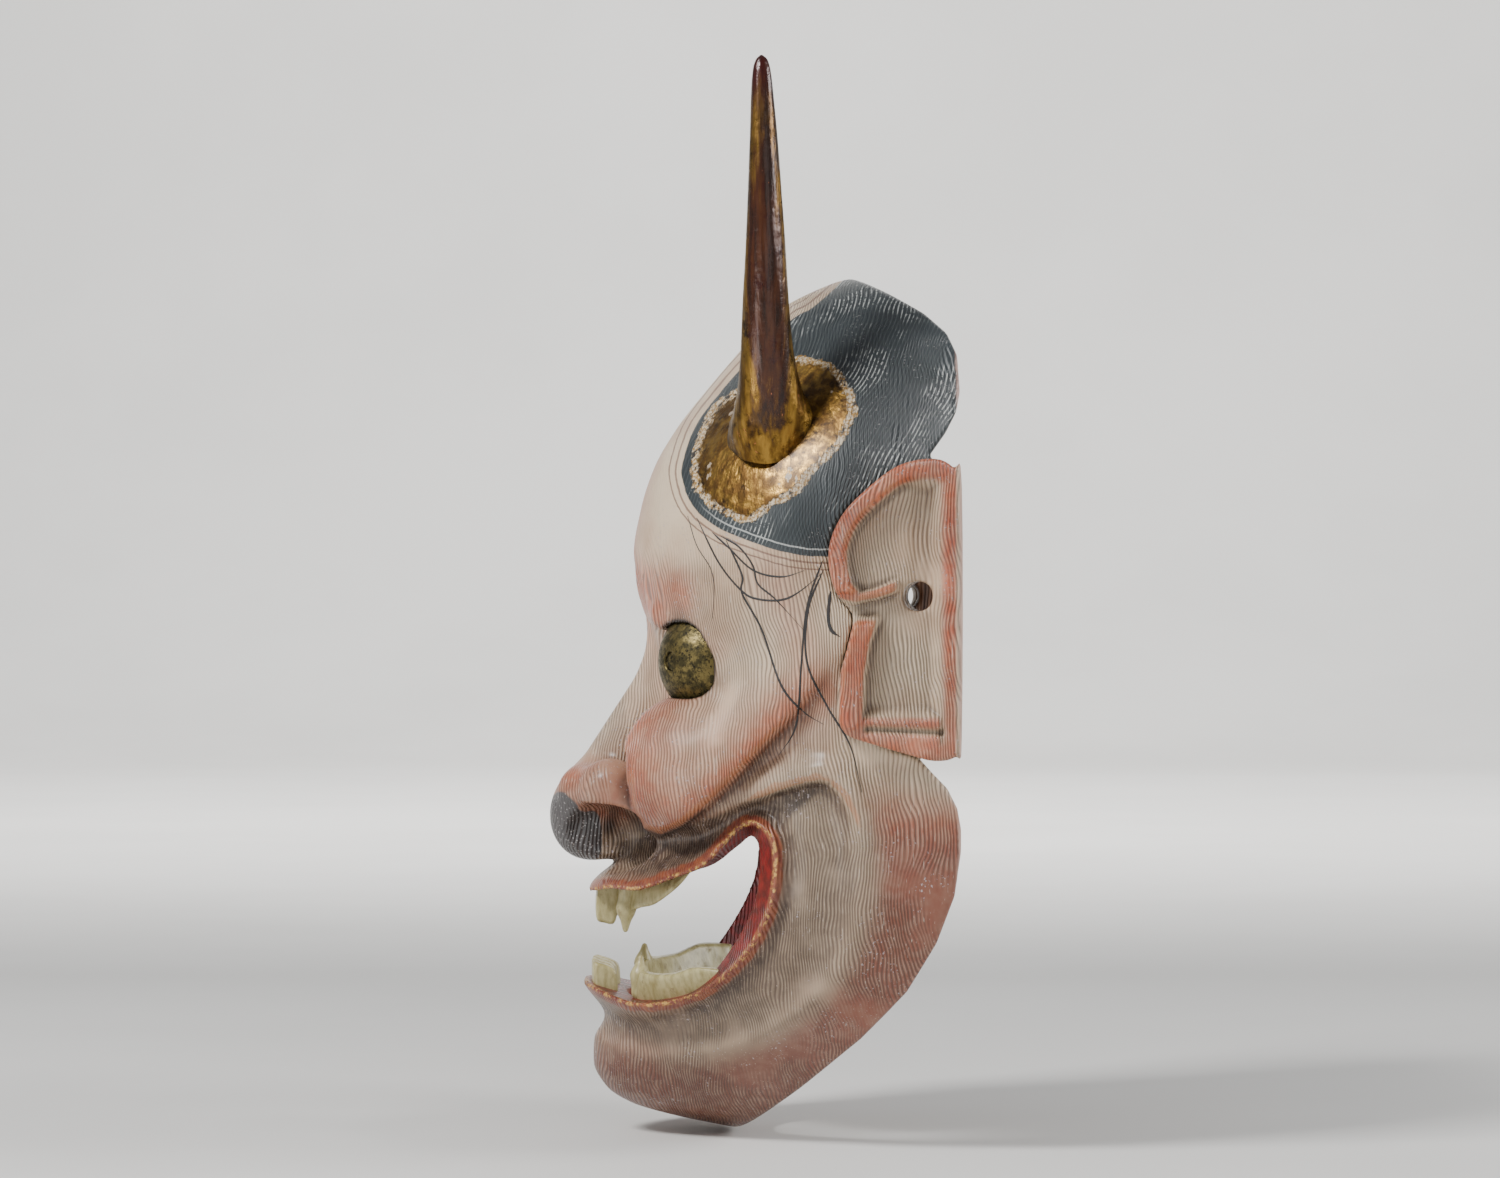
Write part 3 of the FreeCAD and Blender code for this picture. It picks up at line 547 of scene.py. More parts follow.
def build_mask(material, step=MASK_STEP):
    low = (0, -104, -139)
    x, y, z = axes(low, (77, 3, 83), step)
    side = {key: value[None] for key, value in side_maps(y[0], z[0]).items()}
    skin = face_skin(x, y, z, side).astype(np.float32)
    half = mask_field(x, y, z, side, skin).astype(np.float32)
    full = np.concatenate([half[:0:-1], half], axis=0)
    points, quads = surface_of(full, (-(half.shape[0] - 1) * step, low[1], low[2]), step)
    folded = left_half(points)
    depth = -sampled(skin, low, step, folded)
    inner = depth[quads].min(1) > INNER_DEPTH
    share = (np.sum(~inner) + INNER_SHARE * np.sum(inner)) / len(quads)
    points, faces = thinned(points, quads, np.nonzero(depth > INNER_DEPTH)[0], share)
    folded = left_half(points)
    piece = mesh_piece("mask_shell", points, faces, "face_paint", material)
    side = side_maps(points[:, 1], points[:, 2])
    paint = {
        "depth": -sampled(skin, low, step, folded),
        "bend": sampled(roundness(skin, 3), low, step, folded),
        "mouth": side["mouth"],
        "hair": outline_distance(HAIR, points[:, 1], points[:, 2]),
        "gilt": outline_distance(GILT, points[:, 1], points[:, 2]),
        "blush": blush_at(*points.T, side),
        "painted_shade": shade_at(*points.T, side),
        "septum": outline_distance(SEPTUM, points[:, 1], points[:, 2]),
        "line": lines_and_shadow_at(*points.T, side),
    }
    for key, values in paint.items():
        store(piece.data, key, values)
    slopes = np.gradient(half, step)
    normal = np.stack([sampled(slope, low, step, folded) for slope in slopes], 1)
    normal[:, 0] *= np.where(points[:, 0] < 0, -1, 1)
    normal /= np.linalg.norm(normal, axis=1, keepdims=True) + 1e-9
    piece.data.normals_split_custom_set_from_vertices(normal)


def thinned(points, faces, where, share):
    """The mesh with fewer faces at the given points, as points and triangles."""
    mesh = bpy.data.meshes.new("draft")
    mesh.from_pydata(points, [], faces.tolist())
    draft = placed("draft", mesh)
    group = draft.vertex_groups.new(name="thin")
    group.add(where.tolist(), 1.0, "REPLACE")
    modifier = draft.modifiers.new("thin", "DECIMATE")
    modifier.ratio = share
    modifier.vertex_group = group.name
    modifier.use_collapse_triangulate = True
    done = draft.evaluated_get(bpy.context.evaluated_depsgraph_get()).to_mesh()
    points = np.empty(len(done.vertices) * 3)
    done.vertices.foreach_get("co", points)
    corners = np.empty(len(done.loops), np.int32)
    done.loops.foreach_get("vertex_index", corners)
    bpy.data.objects.remove(draft)
    bpy.data.meshes.remove(mesh)
    return points.reshape(-1, 3), corners.reshape(-1, 3)


def ear_height(y, z, edge):
    """Carved relief of the ear: how far out the wood stands at a point."""
    crus = line_distances(y, z, [(-30, -0.8), (-25, -2.2), (-20.5, -1.3), (-15.5, 0.6)])
    bar = line_distances(y, z, [(-22.2, -6.5), (-24.4, -12), (-26, -20), (-26.4, -31)])
    upper = ramp(z - np.interp(y, [-30, -25, -20.5, -14, -12], [-0.8, -2.2, -1.3, 1, -3]), -1, 1)
    height = EAR_FLOOR - 0.7 + 1.5 * upper * ramp(-y, 8, 14)
    wall = 2.6 + 4.5 * ramp(y, -15, -6)
    rim = ramp(edge, -3 - wall, -2.9) * (1 - ramp(-y, 15, 20) * ramp(-z, 0.5, 2.5))
    height = height + (4.4 - 0.5 * ramp(-z, 10, 30)) * rim
    height = np.maximum(height, EAR_FLOOR + 4.4 * ramp(bar, 4.3, 1.6) * ramp(-z, 4.5, 9))
    height = np.maximum(height, EAR_FLOOR + 3.4 * ramp(crus, 2.2, 0.6) * ramp(-y, 13, 17))
    height = height - 2.4 * bell(line_distance(y, z, (-25, -5), (-15.5, -3.2)), 1.7)
    height = height - 1.3 * bell(line_distance(y, z, (-19.5, -8.5), (-20.5, -16)), 1.7)
    height = np.maximum(height, EAR_FLOOR + 3.4 * ramp(-z, 27.5, 31.5) * ramp(-y, 3, 6))
    return height - 1.5 * bell(line_distance(y, z, (-22.5, -33), (-5.2, -33.8)), 0.9)


def build_ears(material, step=EAR_STEP):
    low = (64, -34, -43)
    x, y, z = axes(low, (76, 2, 33), step)
    edge = outline_distance(EAR, y[0], z[0])[None]
    height = ear_height(y, z, edge)
    field = blend_out(0.75 * (x - height), edge + 0.1, 1.3)
    field = blend_out(field, EAR_SEAT - x, 0.3)
    field = blend_out(field, -cord_space(x, y, z), 0.6)
    points, quads = surface_of(field, low, step)
    points_edge = outline_distance(EAR, points[:, 1], points[:, 2])
    rise = ear_height(points[:, 1], points[:, 2], points_edge)
    bend = sampled(roundness(field.astype(np.float32), 4), low, step, points)
    rim = ramp(rise, EAR_FLOOR + 2, EAR_FLOOR + 3.6)
    rim = rim * (1 - ramp(points[:, 1], -1.9, -1.1)) * ramp(points[:, 0], 67, 69)
    # painted shade in the hollows of the ear and low towards its seat
    hollow_shadow = ramp(rise, EAR_FLOOR + 0.4, EAR_FLOOR - 1.2) + ramp(points[:, 0], 68, 66.5)
    far, none = np.full(len(points), 99.0), np.zeros(len(points))
    paint = {"blush": rim, "bend": bend, "depth": none, "mouth": far, "hair": far,
             "gilt": far, "painted_shade": 0.75 * np.clip(hollow_shadow, 0, 1), "septum": far, "line": none}
    both_sides("ear", points, quads, "ear_paint", material, paint=paint)


def wrapped(rows, sides):
    """Faces that join rings of points, one ring to the next."""
    return [(row * sides + column, row * sides + (column + 1) % sides,
             (row + 1) * sides + (column + 1) % sides, (row + 1) * sides + column)
            for row in range(rows - 1) for column in range(sides)]


def tube(centres, radii, sides, bumps=1.0):
    """Skin round a line of centres, closed at both ends, as points and faces."""
    centres = np.array(centres, float)
    along = np.gradient(centres, axis=0)
    along /= np.linalg.norm(along, axis=1, keepdims=True)
    across = np.cross(along, (0.0, 1.0, 0.0))
    across /= np.linalg.norm(across, axis=1, keepdims=True)
    other = np.cross(along, across)
    turn = np.linspace(0, 2 * math.pi, sides, endpoint=False)
    radii = np.array(radii, float)[:, None] * np.broadcast_to(bumps, (len(centres), sides))
    ring = (across[:, None] * np.cos(turn)[None, :, None]
            + other[:, None] * np.sin(turn)[None, :, None])
    points = (centres[:, None] + ring * radii[:, :, None]).reshape(-1, 3)
    faces = wrapped(len(centres), sides)
    faces.append(tuple(range(sides))[::-1])
    faces.append(tuple(range(len(points) - sides, len(points))))
    return points, faces


def build_horns(material, sides=72):
    path = rounded(HORN_PATH, steps=16, closed=False)
    rows = np.arange(len(path))[:, None]
    turn = np.linspace(0, 2 * math.pi, sides, endpoint=False)[None, :]
    bumps = (1 + 0.012 * np.sin(3 * turn + 0.05 * rows) + 0.01 * np.sin(5 * turn - 0.09 * rows)
             + 0.006 * np.sin(11 * turn + 0.21 * rows))
    points, faces = tube(path[:, :3], path[:, 3], sides, bumps)
    both_sides("horn", points, faces, "horn_gilding", material)


def turned(profile, origin, axis, sides=64):
    """Profile of (along, radius) turned about an axis, open at the ends that miss it."""
    axis = Vector(axis).normalized()
    side = axis.cross(Vector((0, 0, 1))).normalized()
    up = side.cross(axis)
    points = []
    for along, radius in profile:
        for step in range(sides):
            turn = 2 * math.pi * step / sides
            points.append(tuple(Vector(origin) + axis * along
                                + (side * math.cos(turn) + up * math.sin(turn)) * radius))
    return points, wrapped(len(profile), sides)


def build_eyes(material, steps=24, play=0.1):
    """Domed metal caps with the pupil open and a short straight tail in the seat."""
    tail = [(-EYE_TAIL, EYE_SEAT_RADIUS - play), (0, EYE_SEAT_RADIUS - play)]
    shoulder = math.acos(EYE_SEAT_RADIUS / EYE_RADIUS)
    pupil = math.acos(PUPIL_RADIUS / EYE_RADIUS)
    inner = EYE_RADIUS - EYE_METAL
    dome, lining = [], []
    for step in range(steps + 1):
        turn = shoulder + (pupil - shoulder) * step / steps
        dome.append((EYE_RADIUS * math.sin(turn) - play, EYE_RADIUS * math.cos(turn) - play))
        turn = pupil - (pupil - shoulder) * step / steps
        lining.append((inner * math.sin(turn), inner * math.cos(turn)))
    end = [(-EYE_TAIL, EYE_SEAT_RADIUS - EYE_METAL - play), tail[0]]
    points, faces = turned(tail + dome + lining + end, EYE_CENTRE, EYE_AXIS)
    both_sides("eye", points, faces, "eye_metal", material)


def row_field(outline, layer, soft):
    """Curved strip between two depths below the face block, cut to a side outline."""
    middle, half = (layer[0] + layer[1]) / 2, (layer[1] - layer[0]) / 2
    line = rounded(outline)

    def field(x, y, z):
        strip = np.abs(face_block(x, y, z) + middle) - half
        return blend_out(strip, outline_distance(line, y[0], z[0])[None], soft)
    return field


def incisor_field(outline):
    """Front teeth in one row, with grooves between them."""
    strip = row_field(outline, INCISOR_LAYER, 1.4)

    def field(x, y, z):
        gaps = sum(bell(x - gap, 0.6) for gap in INCISOR_GAPS)
        return blend_out(strip(x, y, z) + 1.1 * gaps, np.abs(x) - INCISOR_HALF_WIDTH, 1.2)
    return field


def fang_field(root, tip):
    """Slightly bent cone."""
    middle = tuple((a + b) / 2 + c for a, b, c in zip(root, tip, FANG_BEND))

    def field(x, y, z):
        return limb(x, y, z, 1.5, (root, FANG_RADIUS), (middle, FANG_RADIUS * 0.82),
                    (tip, FANG_TIP))
    return field


def build_teeth(material):
    for name, field, low, high, step, mirror in [
            ("upper_incisors", incisor_field(UPPER_INCISORS),
             (-15, -92, -85), (15, -78, -70), 0.35, False),
            ("lower_incisors", incisor_field(LOWER_INCISORS),
             (-15, -93, -103), (15, -78, -90), 0.35, False),
            ("upper_fang", fang_field((21, -79.6, -73.5), (20.5, -80.6, -83.6)),
             (16, -84, -86), (26, -74, -70), 0.3, True),
            ("lower_fang", fang_field((20.5, -76.6, -99), (20, -76.8, -90.7)),
             (15, -82, -103), (26, -71, -88), 0.3, True),
            ("upper_molars", row_field(UPPER_ROW, MOLAR_LAYER, 1.2),
             (5, -82, -81), (60, -57, -59), 0.5, True),
            ("lower_molars", row_field(LOWER_ROW, MOLAR_LAYER, 1.2),
             (5, -80, -105), (60, -52, -88), 0.5, True)]:
        points, quads = surface_of(field(*axes(low, high, step)), low, step)
        make = both_sides if mirror else mesh_piece
        make(name, points, quads, "teeth", material)


def skin_x(y, z):
    """How far out the left outer skin stands at each y, z."""
    side = side_maps(y, z)
    near, far = np.full(len(y), 20.0), np.full(len(y), 78.0)
    for _ in range(40):
        middle = (near + far) / 2
        outside = face_skin(middle, y, z, side) > 0
        far, near = np.where(outside, middle, far), np.where(outside, near, middle)
    return far


def build_strands(material):
    """Painted strands as ribbons lying on the skin."""
    points, faces = [], []
    for width, line in STRANDS:
        line = rounded(line, steps=14, closed=False)
        x = skin_x(line[:, 0], line[:, 1])
        spot = np.column_stack([x, line])
        nudge = 0.4
        slope_y = (skin_x(line[:, 0] + nudge, line[:, 1]) - x) / nudge
        slope_z = (skin_x(line[:, 0], line[:, 1] + nudge) - x) / nudge
        normal = np.column_stack([np.ones(len(x)), -slope_y, -slope_z])
        normal /= np.linalg.norm(normal, axis=1, keepdims=True)
        along = np.gradient(spot, axis=0)
        across = np.cross(normal, along)
        across /= np.linalg.norm(across, axis=1, keepdims=True)
        share = np.linspace(0, 1, len(x))[:, None]
        half = 0.5 * width * np.clip(4 * (1 - share), 0.25, 1) * np.clip(8 * share + 0.3, 0, 1)
        start = len(points)
        rows = [spot - across * half + 0.02 * normal, spot + 0.14 * normal,
                spot + across * half + 0.02 * normal]
        points.extend(tuple(p) for row in zip(*rows) for p in row)
        for step in range(len(x) - 1):
            for lane in (0, 1):
                a = start + 3 * step + lane
                faces.append((a, a + 3, a + 4, a + 1))
    both_sides("hair_strands", points, faces, "face_paint", material, has_node=False)


def pins(specs, sides=20):
    """Round pins from start, end and radius."""
    points, faces = [], []
    for start, end, radius in specs:
        more, cells = tube([start, end], [radius, radius], sides)
        faces += [tuple(index + len(points) for index in cell) for cell in cells]
        points += [tuple(point) for point in more]
    return points, faces


def build_fixings(bamboo, copper):
    """Pegs, dowels and tacks, which are mostly hidden."""
    inner = Vector(PEG_INNER)
    end = inner + (Vector(PEG_OUTER) - inner).normalized() * PEG_LENGTH
    points, faces = pins([(tuple(inner), tuple(end), PIN_RADIUS)])
    both_sides("horn_peg", points, faces, "bamboo", bamboo)
    points, faces = pins([((EAR_SEAT - DOWEL_REACH, y, z), (EAR_SEAT + DOWEL_REACH, y, z),
                           PIN_RADIUS) for y, z in DOWEL_SPOTS])
    both_sides("ear_dowels", points, faces, "bamboo", bamboo)
    axis = Vector(EYE_AXIS).normalized()
    up = Vector((0, 0, 1))
    side = axis.cross(up)
    middle = Vector(EYE_CENTRE) + axis * 1.5
    tacks = []
    for angle in TACK_ANGLES:
        turn = math.radians(angle)
        along = side * math.cos(turn) + up * math.sin(turn)
        start = middle + along * (EYE_SEAT_RADIUS - 1.7)
        tacks.append((tuple(start), tuple(start + along * TACK_LENGTH), TACK_RADIUS))
    points, faces = pins(tacks, 12)
    both_sides("eye_tacks", points, faces, "tack_metal", copper)


# ---- materials ----

def rgb(red, green, blue):
    """Linear colour from display values of 0 to 255."""
    parts = [(part / 255 + 0.055) / 1.055 for part in (red, green, blue)]
    return tuple(part ** 2.4 for part in parts) + (1.0,)


class Paint:
    """One procedural material, built node by node; lengths are millimetres."""

    def __init__(self, name):
        self.material = bpy.data.materials.new(name)
        self.material.use_nodes = True
        self.tree = self.material.node_tree
        self.shader = self.tree.nodes["Principled BSDF"]
        coords = self.node("TexCoord", {}).outputs["Object"]
        self.place = self.vector("SCALE", coords, Scale=1 / MM)
        self.x, self.y, self.z = self.node("SeparateXYZ", {0: self.place}).outputs

    def plug(self, value, socket):
        if isinstance(value, bpy.types.NodeSocket):
            self.tree.links.new(value, socket)
        else:
            socket.default_value = value

    def node(self, kind, inputs, **settings):
        """New node with its settings and its inputs, each a value or a socket."""
        node = self.tree.nodes.new("ShaderNode" + kind)
        for name, value in settings.items():
            setattr(node, name, value)
        for key, value in inputs.items():
            self.plug(value, node.inputs[key])
        return node

    def vector(self, operation, a, b=(0, 0, 0), **inputs):
        return self.node("VectorMath", {0: a, 1: b, **inputs}, operation=operation).outputs[0]

    def math(self, operation, a, b=0.0):
        return self.node("Math", {0: a, 1: b}, operation=operation).outputs[0]

    def add(self, a, b):
        return self.math("ADD", a, b)

    def less(self, a, b):
        return self.math("SUBTRACT", a, b)

    def times(self, a, b):
        return self.math("MULTIPLY", a, b)

    def most(self, a, b):
        return self.math("MAXIMUM", a, b)

    def sway(self, noise, reach):
        """The noise moved to lie round zero, from -reach / 2 to reach / 2."""
        return self.times(self.less(noise, 0.5), reach)

    def ragged(self, value, noise, reach):
        """The value, made uneven by the noise."""
        return self.add(value, self.sway(noise, reach))

    def stripe(self, value, middle, outer, inner):
        """1 where the value is within inner of the middle, 0 beyond outer."""
        return self.ramp(self.math("ABSOLUTE", self.less(value, middle)), outer, inner)

    def waves(self, depth, spacing):
        """Even ridges at each spacing of the depth, from 0 to 1."""
        turn = self.times(depth, 2 * math.pi / spacing)
        return self.add(self.times(self.math("SINE", turn), 0.5), 0.5)

    def ramp(self, value, low, high):
        """0 at low, 1 at high, smooth between."""
        inputs = {"Value": value, "From Min": min(low, high), "From Max": max(low, high),
                  "To Min": float(low > high), "To Max": float(low < high)}
        return self.node("MapRange", inputs, interpolation_type="SMOOTHSTEP").outputs[0]

    def noise(self, size, detail=3.0, rough=0.55, stretch=(1, 1, 1), shift=(0, 0, 0)):
        """Noise from 0 to 1 with lumps of about the given size."""
        moved = self.vector("ADD", self.place, shift)
        scaled = self.vector("MULTIPLY", moved, tuple(1 / (size * part) for part in stretch))
        inputs = {"Vector": scaled, "Scale": 1.0, "Detail": detail, "Roughness": rough}
        return self.node("TexNoise", inputs).outputs[0]

    def cells(self, size):
        """Distance to the nearest of scattered points, in cells of the given size."""
        scaled = self.vector("SCALE", self.place, Scale=1 / size)
        return self.node("TexVoronoi", {"Vector": scaled, "Scale": 1.0}).outputs["Distance"]

    def mix(self, share, a, b):
        """Colour a with a share of colour b."""
        return self.node("Mix", {0: share, 6: a, 7: b}, data_type="RGBA").outputs[2]

    def over(self, colour, share, most, *tone):
        """The colour with at most the given part of a tone over it."""
        return self.mix(self.times(share, most), colour, rgb(*tone))

    def tones(self, value, low, high, first, second):
        """From the first tone at low to the second at high."""
        return self.mix(self.ramp(value, low, high), rgb(*first), rgb(*second))

    def between(self, share, a, b):
        """Number a with a share of number b."""
        return self.node("Mix", {0: share, 2: a, 3: b}).outputs[0]

    def painted(self, name):
        """A number stored for each vertex."""
        return self.node("Attribute", {}, attribute_name=name).outputs["Fac"]

    def bump(self, height, depth_mm):
        inputs = {"Strength": 1.0, "Distance": depth_mm * MM, "Height": height}
        self.plug(self.node("Bump", inputs).outputs[0], self.shader.inputs["Normal"])

    def rings(self, spacing):
        """Yearly rings of the wood: ridges of nearly constant depth, 0 in the valleys."""
        wave = self.sway(self.noise(45.0, 2.0, 0.5), 12.0)
        small = self.sway(self.noise(15.0, 2.0, 0.5, (1, 1, 1.6)), 7.0)
        lean = self.add(self.times(self.z, 0.06), self.times(self.x, 0.18))
        return self.waves(self.add(self.add(self.y, lean), self.add(wave, small)), spacing)

    def finish(self, colour, rough, metal=0.0, varnish=0.0):
        self.shader.inputs["Coat Weight"].default_value = varnish
        self.shader.inputs["Coat Roughness"].default_value = 0.22
        self.plug(colour, self.shader.inputs["Base Color"])
        self.plug(rough, self.shader.inputs["Roughness"])
        self.plug(metal, self.shader.inputs["Metallic"])
        return self.material


def face_paint():
    """Aged white and orange paint with painted shade, painted shadow lines and painted glints,
    black hair, gold leaf round the horns, wood behind.
    """
    p = Paint("face_paint")
    blush, bend, mouth = p.painted("blush"), p.painted("bend"), p.painted("mouth")
    hair, gilt, depth = p.painted("hair"), p.painted("gilt"), p.painted("depth")
    painted_shade, septum, line = p.painted("painted_shade"), p.painted("septum"), p.painted("line")
    cloud, fine, speck = p.noise(22.0, 4.0), p.noise(3.0, 4.0), p.noise(0.7, 3.0)
    rings = p.rings(0.86)
    smooth_brow = p.times(p.ramp(p.z, 2.0, 12.0), p.ramp(p.y, -36.0, -50.0))
    grain_here = p.times(p.ramp(p.noise(24.0, 2.0, 0.5, shift=(40, 3, 9)), 0.3, 0.46),
                         p.less(1.0, p.times(smooth_brow, 0.9)))
    lower = p.ramp(p.z, -44.0, -66.0)

    ivory = p.tones(cloud, 0.35, 0.7, (214, 192, 164), (190, 160, 132))
    ivory = p.over(ivory, lower, 0.75, 148, 125, 104)
    shadow_brown = p.tones(fine, 0.35, 0.65, (66, 54, 46), (96, 80, 66))
    colour = p.over(ivory, p.ramp(bend, 0.0, -0.5), 0.8, 122, 102, 86)
    orange = p.tones(cloud, 0.3, 0.65, (200, 106, 70), (172, 84, 58))
    orange = p.over(orange, lower, 0.9, 120, 63, 45)
    rubbed = p.times(blush, p.between(p.ramp(fine, 0.25, 0.75), 1.0, 0.78))
    colour = p.mix(rubbed, colour, orange)
    # painted shade: grey-brown laid into the hollows where shade falls
    shadow_share = p.times(painted_shade, p.between(p.ramp(fine, 0.3, 0.7), 0.95, 0.8))
    colour = p.mix(shadow_share, colour, shadow_brown)
    valley = p.times(p.ramp(rings, 0.42, 0.06), grain_here)
    colour = p.over(colour, valley, 0.62, 62, 42, 32)
    crest = p.times(p.ramp(rings, 0.8, 0.98), p.times(grain_here, p.ramp(fine, 0.4, 0.6)))
    colour = p.over(colour, crest, 0.22, 226, 206, 182)
    worn = p.times(p.ramp(p.ragged(bend, fine, 0.5), 0.4, 0.56), 0.6)
    colour = p.over(colour, worn, 0.7, 182, 112, 66)
    chips = p.times(p.ramp(speck, 0.63, 0.67),
                    p.ramp(p.noise(9.0, 2.0, shift=(7, 31, 2)), 0.52, 0.6))
    colour = p.over(colour, chips, 0.8, 206, 190, 190)
    scratch = p.ramp(p.noise(1.0, 2.0, 0.5, (0.35, 0.35, 9.0), (5, 9, 1)), 0.68, 0.72)
    colour = p.over(colour, scratch, 0.55, 222, 204, 186)
    # black lines round the eye; painted shadow under the cheek edge and in the nostril
    colour = p.mix(line, colour, rgb(34, 24, 20))

    red = p.tones(fine, 0.35, 0.65, (130, 28, 26), (86, 20, 20))
    lip = p.times(p.ramp(mouth, 6.5, 5.0), p.ramp(depth, 1.0, 1.8))
    colour = p.mix(lip, colour, red)
    rim = p.times(p.ramp(p.ragged(mouth, fine, 1.4), 2.6, 2.0), p.ramp(depth, 1.9, 1.1))
    rust = p.tones(fine, 0.4, 0.6, (150, 82, 52), (118, 52, 38))
    colour = p.mix(p.times(rim, 0.9), colour, rust)
    gilded = p.times(p.ramp(p.noise(1.6, 4.0, 0.7), 0.5, 0.6), p.ramp(mouth, 1.3, 0.7))
    colour = p.mix(p.times(gilded, p.ramp(depth, 1.9, 1.1)), colour, rgb(206, 160, 84))

    inside = p.times(p.ramp(depth, 5.2, 6.2), p.ramp(mouth, 5.0, 6.5))
    wood = p.tones(p.rings(2.6), 0.2, 0.8, (74, 48, 32), (104, 70, 46))
    colour = p.mix(inside, colour, wood)

    outer_side = p.ramp(depth, 1.6, 1.0)
    bridge = p.times(p.ramp(p.ragged(septum, fine, 1.2), 0.3, -0.3), outer_side)
    # dark grey paint on the septum, with light specks that are painted glints
    septum_grey_with_glints = p.tones(p.cells(0.8), 0.12, 0.3, (176, 172, 170), (74, 70, 70))
    colour = p.mix(bridge, colour, septum_grey_with_glints)

    edge = p.ragged(hair, fine, 0.5)
    stray = p.times(p.most(p.stripe(edge, 1.5, 0.32, 0.14), p.stripe(edge, 3.1, 0.24, 0.1)),
                    outer_side)
    colour = p.over(colour, stray, 0.7, 96, 58, 46)
    black = p.times(p.ramp(edge, 0.12, -0.12), outer_side)
    pale = p.times(p.stripe(edge, -1.7, 0.24, 0.1), p.ramp(p.z, 22.0, 14.0))
    combed = p.ramp(hair_lines(p), 0.72, 0.9)
    patch = p.times(p.ramp(p.noise(15.0, 2.0, shift=(2, 8, 30)), 0.47, 0.6),
                    p.ramp(p.noise(1.4, 3.0, 0.6), 0.42, 0.52))
    bare = p.times(combed, patch)
    slate = p.tones(cloud, 0.35, 0.7, (34, 40, 42), (52, 58, 60))
    slate = p.over(slate, combed, 0.2, 104, 110, 110)
    slate = p.over(slate, p.most(bare, pale), 0.8, 186, 188, 184)
    slate = p.over(slate, chips, 0.6, 170, 168, 166)
    colour = p.mix(black, colour, slate)
    rear = p.times(p.ramp(p.ragged(p.y, fine, 1.5), -1.2, -0.4), p.ramp(depth, 5.0, 3.0))
    colour = p.over(colour, rear, 0.8, 196, 160, 146)

    torn = p.ragged(gilt, p.noise(3.2, 5.0, 0.7), 4.0)
    chipped = p.times(p.ramp(torn, 0.25, -0.15), outer_side)
    crumbs = p.ramp(speck, 0.42, 0.58)
    rim_dirt = p.ramp(p.noise(2.0, 4.0, 0.7, shift=(9, 9, 2)), 0.5, 0.62)
    border = p.mix(rim_dirt, p.mix(crumbs, rgb(206, 188, 160), rgb(150, 112, 48)), rgb(40, 34, 30))
    colour = p.mix(chipped, colour, border)
    leaf = p.times(p.ramp(torn, -1.5, -2.1), outer_side)
    colour = p.mix(leaf, colour, gold_leaf(p, fine))
    loss = p.times(p.ramp(p.noise(7.0, 4.0, 0.65, (1, 1, 1.6), (9, 2, 5)), 0.63, 0.67), leaf)
    colour = p.over(colour, loss, 0.7, 176, 160, 140)

    shine = p.between(blush, 0.5, 0.38)
    shine = p.between(bridge, shine, 0.3)
    shine = p.between(black, shine, 0.42)
    kept = p.times(leaf, p.less(1.0, loss))
    shine = p.between(kept, shine, p.between(p.ramp(fine, 0.3, 0.7), 0.3, 0.52))
    shine = p.between(inside, shine, 0.75)
    relief = p.add(p.times(p.times(rings, grain_here), 1.2), p.times(fine, 0.6))
    relief = p.add(relief, p.times(chips, -0.6))
    relief = p.less(relief, p.times(stray, 0.4))
    relief = p.add(relief, p.times(chipped, 0.9))
    streaked = p.add(p.times(p.noise(2.6, 4.0, 0.6, (1, 1, 3.0)), 1.6), p.add(fine, 1.0))
    p.bump(p.between(leaf, relief, streaked), 0.22)
    return p.finish(colour, shine, p.times(kept, 0.92), 0.22)


def hair_lines(p):
    """Fine rings of the wood where they show through the black hair."""
    depth = p.ragged(p.less(p.y, p.times(p.z, 0.45)), p.noise(40.0, 2.0, 0.5), 14.0)
    return p.waves(depth, 1.05)


def gold_leaf(p, fine):
    """Worn gold with dark patches."""
    gold = p.tones(fine, 0.3, 0.62, (158, 122, 56), (88, 62, 26))
    dark = p.ramp(p.noise(5.0, 5.0, 0.7, shift=(1, 20, 4)), 0.5, 0.68)
    return p.mix(dark, gold, rgb(50, 34, 18))


